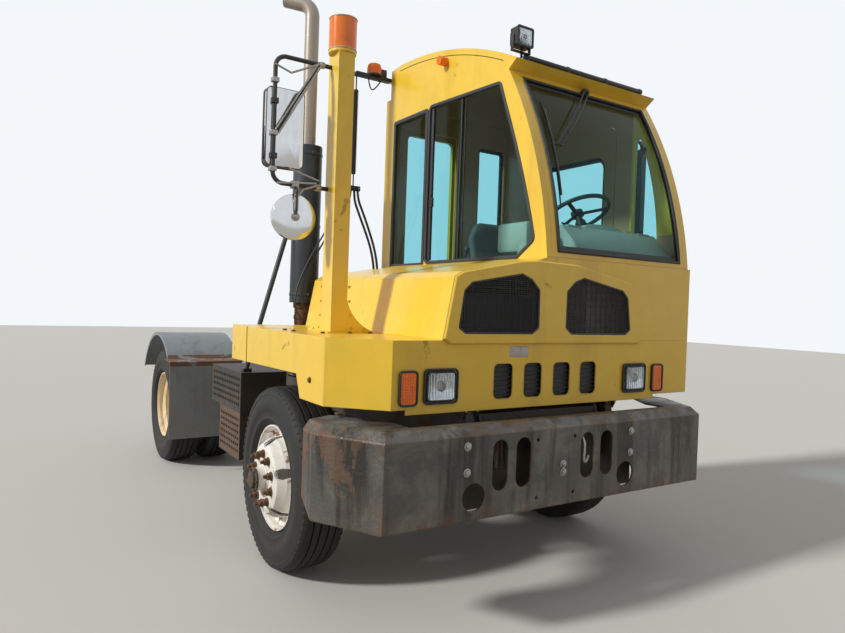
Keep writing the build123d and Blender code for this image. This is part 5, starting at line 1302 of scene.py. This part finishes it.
def addStackPieces():
    x, y, radius = stack["x"], stack["y"], stack["shieldRadius"]
    bands = [addRod((x, y, z - 0.010), (x, y, z + 0.010), radius + 0.003, 48, 0.002) for z in stack["bands"]]
    bands += [addBlock((x - 0.014, y - radius - 0.018, z - 0.012), (x + 0.014, y - radius + 0.004, z + 0.012), 0.002)
              for z in stack["lugs"]]
    dress(bands, "stack_bands", "chassis", "stackSteel")
    foot = [addRod((x, y, low), (x, y, high), wide, 40, rounding) for low, high, wide, rounding in stack["foot"]]
    dress(foot, "stack_foot", "chassis", "rustySteel")


# deck: bolts, seams and caps

deck = {
    "bolts": ((-1.150, 1.120), (-1.150, 0.990), (-1.060, 0.800), (-0.900, 0.795), (-0.770, 0.800)), "top": 1.384,
    "sideBolt": (-1.216, 0.591, 1.160),
    "seams": (((-1.2185, 1.586, 1.145), (-1.2155, 1.590, 1.384)), ((-1.2185, 1.300, 1.3825), (-0.985, 1.303, 1.3845))),
    "frontGusset": ((-0.896, 1.640), (-0.893, 1.560), (-0.885, 1.480), (-0.874, 1.410), (-0.800, 1.402)),
    "sideGusset": ((0.964, 1.640), (0.967, 1.560), (0.975, 1.480), (0.986, 1.410), (1.060, 1.402)),
    "gussetFaces": (0.8272, -1.0012), "gussetBolt": (0.006, 0.005),
    "cap": (-0.9545, 0.8895), "capBands": (2.9425, 3.1150), "capRadius": 0.0765, "bandRadius": 0.0038, "bandPoints": 40,
}


def addDeckDetails():
    bolts = []
    for x, y in deck["bolts"]:
        bolts += addBolt((x, y, deck["top"]), (0, 0, 1), 0.011, 0.009)
    bolts += addBolt(deck["sideBolt"], (-1, 0, 0), 0.012, 0.010)
    dress(bolts, "deck_bolts", "cab", "rustySteel")
    dressBlack(addBlocks(deck["seams"]), "deck_seams")
    small = []
    frontY, sideX = deck["gussetFaces"]
    for x, z in deck["frontGusset"]:
        small += addBolt((x, frontY, z), (0, -1, 0), *deck["gussetBolt"])
    for y, z in deck["sideGusset"]:
        small += addBolt((sideX, y, z), (-1, 0, 0), *deck["gussetBolt"])
    dress(small, "gusset_bolts", "cab", "yellowPaint")
    rings = [levelRing(*deck["cap"], z, deck["capRadius"], deck["bandPoints"]) for z in deck["capBands"]]
    bands = [addLine(ring, deck["bandRadius"], 2, True) for ring in rings]
    dress(bands, "post_cap_bands", "cab", "paleLabel", 60)


# roof: sleeve on the front bar, cover of the beacon's bracket, seams

roofTrim = {
    "barY": 0.548, "barRise": 0.012, "barX": (0.070, 1.115), "barRadius": 0.0170, "clips": (0.02, 0.34, 0.66, 0.98),
    "bracket": ((-0.316, 1.985, 3.2588), (-0.0145, 2.0488, 3.2832), 0.003), "bracketBolts": (-0.290, -0.060),
    "boltY": 2.017, "boltZ": 3.2828, "seam": (0.640, 1.860), "seamDrop": 0.040, "seamOut": 0.0003,
    "seamRadius": 0.0024, "seamSteps": 24,
}


def addRoofTrim():
    y, radius = roofTrim["barY"], roofTrim["barRadius"]
    z = onRoof(y) + roofTrim["barRise"]
    x0, x1 = roofTrim["barX"]
    sleeve = [addRod((x0, y, z), (x1, y, z), radius, 28, 0.003)]
    for share in roofTrim["clips"]:
        x = x0 + (x1 - x0) * share
        sleeve.append(addRod((x - 0.010, y, z), (x + 0.010, y, z), radius + 0.0035, 28, 0.002))
        sleeve.append(addBlock((x - 0.014, y - 0.016, z - 0.034), (x + 0.014, y + 0.016, z - 0.010), 0.003))
    dressBlack(sleeve, "roof_bar_sleeve")
    cover = [addBlock(*roofTrim["bracket"])]
    for x in roofTrim["bracketBolts"]:
        cover += addBolt((x, roofTrim["boltY"], roofTrim["boltZ"]), (0, 0, 1), 0.008, 0.008)
    dressBlack(cover, "beacon_bracket_cover")
    (first, last), steps = roofTrim["seam"], roofTrim["seamSteps"]
    ys = [first + (last - first) * step / steps for step in range(steps + 1)]
    seams = [addLine([(x, y, onRoof(y, -roofTrim["seamDrop"])) for y in ys], roofTrim["seamRadius"])
             for x in (cab["right"] - roofTrim["seamOut"], cab["left"] + roofTrim["seamOut"])]
    dress(seams, "roof_seams", "cab", "greyRubber", 60)


# front: pressed rims and dark louvres at the slots on a black sheet of painted shade, blank plate, and a dark plate
# behind the bumper, painted shade for the shade under the truck

frontLook = {
    "slots": (-0.308, -0.102, 0.110, 0.318), "slotZ": 1.172, "slotSize": (0.134, 0.191), "rimY": 0.1835,
    "paintedShadeSheet": (0.005, 1.172, 0.860, 0.226, 0.020, 0.2035, 3), "louvreX": (-0.410, 0.420), "louvreY": (0.1905, 0.2040),
    "louvreZ": 1.072, "louvrePitch": 0.024, "louvreHigh": 0.003, "louvres": 9,
    "plate": (-0.2045, 1.326, 0.129, 0.058, 0.006, 0.1832, 3),
    "splash": (-0.080, 0.649, 1.420, 0.202, 0.030, 0.1162, 4),
    "ribs": (-0.70, -0.38, -0.08, 0.22, 0.54), "ribLow": (-0.012, 0.1188, 0.562), "ribHigh": (0.012, 0.128, 0.738),
}


def addFrontDetails():
    rims = []
    for x in frontLook["slots"]:
        slot = softPanel(x, frontLook["slotZ"], *frontLook["slotSize"], 0.033, frontLook["rimY"])
        rims.append(addFrame(slot, 0.0045, (0, -0.0025, 0), 0.001))
    dress(rims, "slot_rims", "cab", "yellowPaint")
    # a black sheet behind the slots: painted shade, dark where only shade would show
    screen = [addSheet(softPanel(*frontLook["paintedShadeSheet"]), (0, 0.003, 0))]
    (x0, x1), (y0, y1) = frontLook["louvreX"], frontLook["louvreY"]
    for step in range(frontLook["louvres"]):
        z = frontLook["louvreZ"] + frontLook["louvrePitch"] * step
        screen.append(addBlock((x0, y0, z), (x1, y1, z + frontLook["louvreHigh"])))
    dressBlack(screen, "slot_louvres_and_shade_sheet")
    plate = addSheet(softPanel(*frontLook["plate"]), (0, -0.0014, 0), 0.0004)
    dress([plate], "blank_plate", "cab", "paleLabel")
    # a dark plate behind the bumper's holes: painted shade that hides the floor, which would show there in the shade
    # under the truck
    splash = [addSheet(softPanel(*frontLook["splash"]), (0, 0.003, 0))]
    (lowX, lowY, lowZ), (highX, highY, highZ) = frontLook["ribLow"], frontLook["ribHigh"]
    splash += [addBlock((x + lowX, lowY, lowZ), (x + highX, highY, highZ), 0.003) for x in frontLook["ribs"]]
    dress(splash, "splash_plate_as_painted_shade", "chassis", "chassisPaint")


# wiper: two arms from the motor to a blade parked beside the gasket; rows are x, z and how far out

wiper = {
    "motor": (0.588, 2.935), "motorRods": ((0.0005, 0.026, 0.028, 28, 0.004), (0.024, 0.036, 0.016, 20, 0.003)),
    "arms": (((0.574, 2.938), (0.178, 2.520)), ((0.604, 2.928), (0.202, 2.505))), "armRadius": 0.0058,
    "blade": ((0.160, 2.790), (0.128, 2.150)), "bladeSteps": 12, "rubber": (-0.009, 0.0045), "spine": (0.003, 0.0065),
    "link": ((0.146, 2.510, 0.006), (0.170, 2.513, 0.012), (0.206, 2.505, 0.012)), "linkRadius": 0.008,
    "clip": (0.006, 0.006, 0.012), "clipOut": -0.002,
}


def offShield(x, z, out):               # a point straight out from the windshield's curve
    run = Vector((onShield(z) - shieldMiddle.x, z - shieldMiddle.y)) * (1 + out / shieldRadius)
    return at(x, shieldMiddle.x + run.x, shieldMiddle.y + run.y)


def addWiper():
    x, z = wiper["motor"]
    pieces = [addRod(offShield(x, z, first), offShield(x, z, last), *rest) for first, last, *rest in wiper["motorRods"]]
    for (startX, startZ), (endX, endZ) in wiper["arms"]:
        arm = ((startX, startZ, 0.030), (startX - 0.04, startZ - 0.04, 0.034),
               ((startX + endX) / 2, (startZ + endZ) / 2, 0.034), (endX + 0.03, endZ + 0.03, 0.022),
               (endX, endZ, 0.012))
        pieces.append(addLine([offShield(*point) for point in arm], wiper["armRadius"]))
    (topX, top), (footX, foot) = wiper["blade"]
    shares = [step / wiper["bladeSteps"] for step in range(wiper["bladeSteps"] + 1)]
    line = [(topX + (footX - topX) * share, top + (foot - top) * share) for share in shares]
    for points, (out, radius) in ((line, wiper["rubber"]), (line[1:-1], wiper["spine"])):
        pieces.append(addLine([offShield(x, z, out) for x, z in points], radius))
    pieces.append(addLine([offShield(*point) for point in wiper["link"]], wiper["linkRadius"]))
    half = Vector(wiper["clip"])
    for x, z in line[2:-1:2]:
        place = offShield(x, z, wiper["clipOut"])
        pieces.append(addBlock(place - half, place + half, 0.002))
    arms = dressBlack(pieces, "wiper_set", 60)
    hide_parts("wiper")


# hoses: unions at the wall, coil round the hanger

hoseLook = {
    "unions": ((-0.1102, 1.5602, 0.017), (-0.1499, 1.5615, 0.017), (-0.6036, 1.3538, 0.012), (-0.5636, 1.3567, 0.012)),
    "unionY": (1.8871, 1.8955, 1.8950, 1.9020), "clampBolts": ((-0.345, 2.004, 2.4135), (-0.255, 2.004, 2.4135)),
    "hanger": (-0.300, 2.018), "coilRadius": 0.0180, "coil": (2.530, 3.140), "turns": 44, "turnSteps": 10,
    "wire": 0.0028,
}


def addHoseFittings():
    unions = []
    nutY, nutEnd, tailY, tailEnd = hoseLook["unionY"]
    for x, z, radius in hoseLook["unions"]:
        unions += addRods((((x, nutY, z), (x, nutEnd, z), radius, 6, 0.001),
                           ((x, tailY, z), (x, tailEnd, z), radius * 0.85, 20, 0.001)))
    for place in hoseLook["clampBolts"]:
        unions += addBolt(place, (0, -1, 0), 0.007, 0.008)
    dress(unions, "hose_unions", "cab", "dullZinc")
    (x, y), (low, high), radius = hoseLook["hanger"], hoseLook["coil"], hoseLook["coilRadius"]
    coil, steps = [], hoseLook["turns"] * hoseLook["turnSteps"]
    for step in range(steps + 1):
        turn = 2 * math.pi * step / hoseLook["turnSteps"]
        coil.append((x + radius * math.cos(turn), y + radius * math.sin(turn), low + (high - low) * step / steps))
    dress([addTube(coil, hoseLook["wire"], sides=1)], "hanger_coil", "cab", "hoseRubber", 60)


# seat: sprung base, padded cushion and back

seat = {
    "middle": 0.740, "voxel": 0.009, "steps": 16, "pressure": 3.5, "swell": 0.014, "quality": 4,
    "cushion": ((-0.225, 1.130, 1.800), (0.225, 1.570, 1.880)), "cushionRounding": 0.022, "cushionFoot": 0.030,
    "channels": (-0.105, 0.105), "backChannels": (0.115, 0.235), "backFoot": (1.555, 1.868), "backHead": (1.640, 2.218),
    "backHalf": 0.215, "backThick": 0.062,
    "base": (
        ((0.570, 1.180, 1.3845), (0.910, 1.560, 1.402), 0.004), ((0.555, 1.150, 1.742), (0.925, 1.560, 1.796), 0.012),
        ((0.590, 1.570, 1.780), (0.890, 1.612, 1.900), 0.010),
    ),
    "bellows": 8, "bellowFoot": 1.402, "bellowPitch": 0.0425, "bellowX": (0.580, 0.900), "bellowY": (1.195, 1.545),
}


def puffPad(pad, held):                 # the cover swells under pressure, held where this says so
    applyModifier(pad, "REMESH", mode="VOXEL", voxel_size=seat["voxel"])
    before = [vertex.co.copy() for vertex in pad.data.vertices]
    group = pad.vertex_groups.new(name="held")
    group.add([index for index, place in enumerate(before) if held(place)], 1.0, "REPLACE")
    choose([pad])
    cloth = pad.modifiers.new("Cloth", "CLOTH")
    cloth.settings.quality = seat["quality"]
    cloth.settings.use_pressure = True
    cloth.settings.uniform_pressure_force = seat["pressure"]
    cloth.settings.effector_weights.gravity = 0
    cloth.settings.vertex_group_mass = "held"
    for step in range(1, seat["steps"] + 1):
        bpy.context.scene.frame_set(step)
    bpy.ops.object.modifier_apply(modifier=cloth.name)
    bpy.context.scene.frame_set(1)
    for vertex, place in zip(pad.data.vertices, before):
        moved = vertex.co - place
        if moved.length > seat["swell"]:
            vertex.co = place + moved.normalized() * seat["swell"]
    pad.vertex_groups.clear()
    return applyModifier(pad, "SUBSURF", levels=1, render_levels=1)


def addSeat():
    middle = seat["middle"]
    (x0, y0, z0), (x1, y1, z1) = seat["cushion"]

    def cushionHeld(place):
        channel = min(abs(place.x - middle - x) for x in seat["channels"]) < 0.008
        return place.z < z0 + seat["cushionFoot"] or (channel and place.z > z1 - 0.004)

    cushion = addBlock((middle + x0, y0, z0), (middle + x1, y1, z1), seat["cushionRounding"])
    cushion = puffPad(cushion, cushionHeld)
    dress([cushion], "seat_cushion", "cab", "seatFabric", 60)
    half, thick = seat["backHalf"], seat["backThick"]
    foot, head = at(middle, *seat["backFoot"]), at(middle, *seat["backHead"])
    tall = (head - foot).length
    along = (head - foot).normalized()
    forward = Vector((0, -along.z, along.y))
    corners = softCorners([(-half * 0.94, 0.0), (half * 0.94, 0.0), (half, tall * 0.62), (half * 0.62, tall),
                           (-half * 0.62, tall), (-half, tall * 0.62)], 0.070)

    def backHeld(place):
        offset = place - foot
        channel = any(abs(offset.dot(along) - run) < 0.007 for run in seat["backChannels"])
        return offset.dot(forward) < -thick * 0.55 or (channel and offset.dot(forward) > -0.004)

    back = addSheet([foot + Vector((x, 0, 0)) + along * run for x, run in corners], forward * -thick, 0.016)
    back = puffPad(back, backHeld)
    dress([back], "seat_back", "cab", "seatFabric", 60)
    base = addBlocks(seat["base"])
    (x0, x1), (y0, y1) = seat["bellowX"], seat["bellowY"]
    for low in [seat["bellowFoot"] + seat["bellowPitch"] * step for step in range(seat["bellows"])]:
        base.append(addBlock((x0, y0, low + 0.006), (x1, y1, low + 0.036), 0.013))
    for side in (-1, 1):                # slide rails and their handles
        railX, handleX = middle + side * 0.205, middle + side * 0.150
        base += addRods((((railX, 1.200, 1.790), (railX, 1.540, 1.790), 0.011, 16, 0.003),
                         ((handleX, 1.180, 1.748), (middle + side * 0.215, 1.165, 1.748), 0.007, 12, 0.002)))
    frame = dress(base, "seat_base", "cab", "blackPlastic")
    for piece in (frame, cushion, back):
        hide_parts("seat")


# inside the cab: instrument pod, stalks, grab rail, pedals, mat and shift lever

inside = {
    "pod": (0.740, 0.545, 2.066), "podHalf": 0.185, "podDepth": 0.120,
    "hump": ((-1, 0), (-0.90, 0.024), (-0.55, 0.040), (0, 0.045), (0.55, 0.040), (0.90, 0.024), (1, 0)),
    "consoleAndVents": (
        ((0.048, 0.445, 1.885), (0.212, 0.720, 2.0695), 0.026),
        ((0.365, 0.4305, 2.060), (0.475, 0.470, 2.0745), 0.004),
        ((1.005, 0.4305, 2.060), (1.115, 0.470, 2.0745), 0.004),
    ),
    "dials": ((-0.060, 0.060), (0.060, 0.060)), "dialY": 0.620, "dialZ": 2.060, "slope": (0, 0.080, -0.160),
    "switches": 6, "switchFrom": 0.085, "switchPitch": 0.018,
    "column": (0.760, 0.745, 2.205), "tilt": 28.0,
    "columnRods": ((0.060, 0.270, 0.036, 28, 0.006), (-0.016, -0.024, 0.034, 28, 0.003)),
    "stalkRun": 0.110, "stalk": ((0, 0, 0), (0.070, 0.010, 0.004), (0.165, 0.028, 0.022)), "stalkRadius": 0.0062,
    "rail": ((1.178, 0.556, 2.090), (1.138, 0.556, 2.090), (1.132, 0.556, 2.120), (1.132, 0.556, 2.635),
             (1.138, 0.556, 2.665), (1.178, 0.556, 2.665)), "railRadius": 0.0115,
    "railFeet": tuple(((1.174, 0.556, z), (1.181, 0.556, z), 0.024, 24, 0.002) for z in (2.090, 2.665)),
    "pedals": (0.640, 0.860), "pedalTreads": 6, "pedalArm": ((0.560, 1.530), (0.500, 1.560), (0.415, 1.640)),
    "mat": ((0.335, 0.450, 1.3843), (1.160, 1.150, 1.390), 0.002), "matRibs": 20, "matPitch": 0.040,
    "shiftBox": ((0.150, 1.150, 1.7452), (0.260, 1.400, 1.800), 0.012),
    "shiftRods": (((0.205, 1.270, 1.795), (0.205, 1.235, 1.930), 0.008, 16, 0.002),
                  ((0.205, 1.235, 1.925), (0.205, 1.228, 1.965), 0.019, 20, 0.007)),
}


def addInterior():
    x, y, z = inside["pod"]
    hump = softCorners([(x + inside["podHalf"] * share, z + rise) for share, rise in inside["hump"]], 0.030, 4)
    pod = addSheet(lengthwise(hump, y - inside["podDepth"] / 2), (0, inside["podDepth"], 0), 0.008)
    dress([pod, *addBlocks(inside["consoleAndVents"])], "instrument_pod", "cab", "dashPlastic")
    fittings = []
    slope = Vector(inside["slope"]).normalized()        # down the dash's rear face
    out = Vector((0, slope.z, -slope.y)) * -1
    for shift, run in inside["dials"]:
        face = at(x + shift, inside["dialY"], inside["dialZ"]) + slope * run
        fittings += addRods(((face - out * 0.004, face + out * 0.007, 0.042, 32, 0.002),
                             (face, face + out * 0.010, 0.006, 12, 0.001)))
    for switchX in [inside["switchFrom"] + inside["switchPitch"] * step for step in range(inside["switches"])]:
        fittings.append(addBlock((switchX - 0.006, 0.640, 2.064), (switchX + 0.006, 0.664, 2.076), 0.002))
    column, tilt = at(*inside["column"]), math.radians(inside["tilt"])
    down = Vector((0, -math.sin(tilt), -math.cos(tilt)))
    fittings += addRuns([column], down, inside["columnRods"])
    root = column + down * inside["stalkRun"]
    for side in (-1, 1):
        stalk = [root + Vector((side * run, back, rise)) for run, back, rise in inside["stalk"]]
        fittings.append(addLine(stalk, inside["stalkRadius"]))
    dressBlack(fittings, "instrument_fittings")
    dressBlack([addLine(inside["rail"], inside["railRadius"], 3), *addRods(inside["railFeet"])], "grab_rail", 60)
    pedals = []
    for pedal in inside["pedals"]:
        pedals.append(addBlock((pedal - 0.040, 0.560, 1.470), (pedal + 0.040, 0.585, 1.590), 0.006))
        for rise in [0.020 * step for step in range(inside["pedalTreads"])]:
            pedals.append(addBlock((pedal - 0.036, 0.584, 1.482 + rise), (pedal + 0.036, 0.590, 1.490 + rise), 0.002))
        pedals.append(addLine(across(inside["pedalArm"], pedal), 0.009))
    dressBlack(pedals, "pedals")
    mat = [addBlock(*inside["mat"])]
    for ribX in [0.355 + inside["matPitch"] * step for step in range(inside["matRibs"])]:
        mat.append(addBlock((ribX, 0.470, 1.3895), (ribX + 0.014, 1.130, 1.3935), 0.001))
    dressBlack(mat, "floor_mat")
    dressBlack([addBlock(*inside["shiftBox"]), *addRods(inside["shiftRods"])], "shift_console")


# making

addCamera()
addStudio()
finishNodes()
addTyres()
addWheelDetails()
addWindshieldGasket()
addWindowFrames()
addHeadlamps()
addMarkers()
addWorkLamp()
addBeacon()
addTailLenses()
addGrille()
addBumperBolts()
addMirrors()
addStackPieces()
addDeckDetails()
addRoofTrim()
addFrontDetails()
addWiper()
addHoseFittings()
addSeat()
addInterior()

bpy.context.view_layer.update()
print("pieces finished")
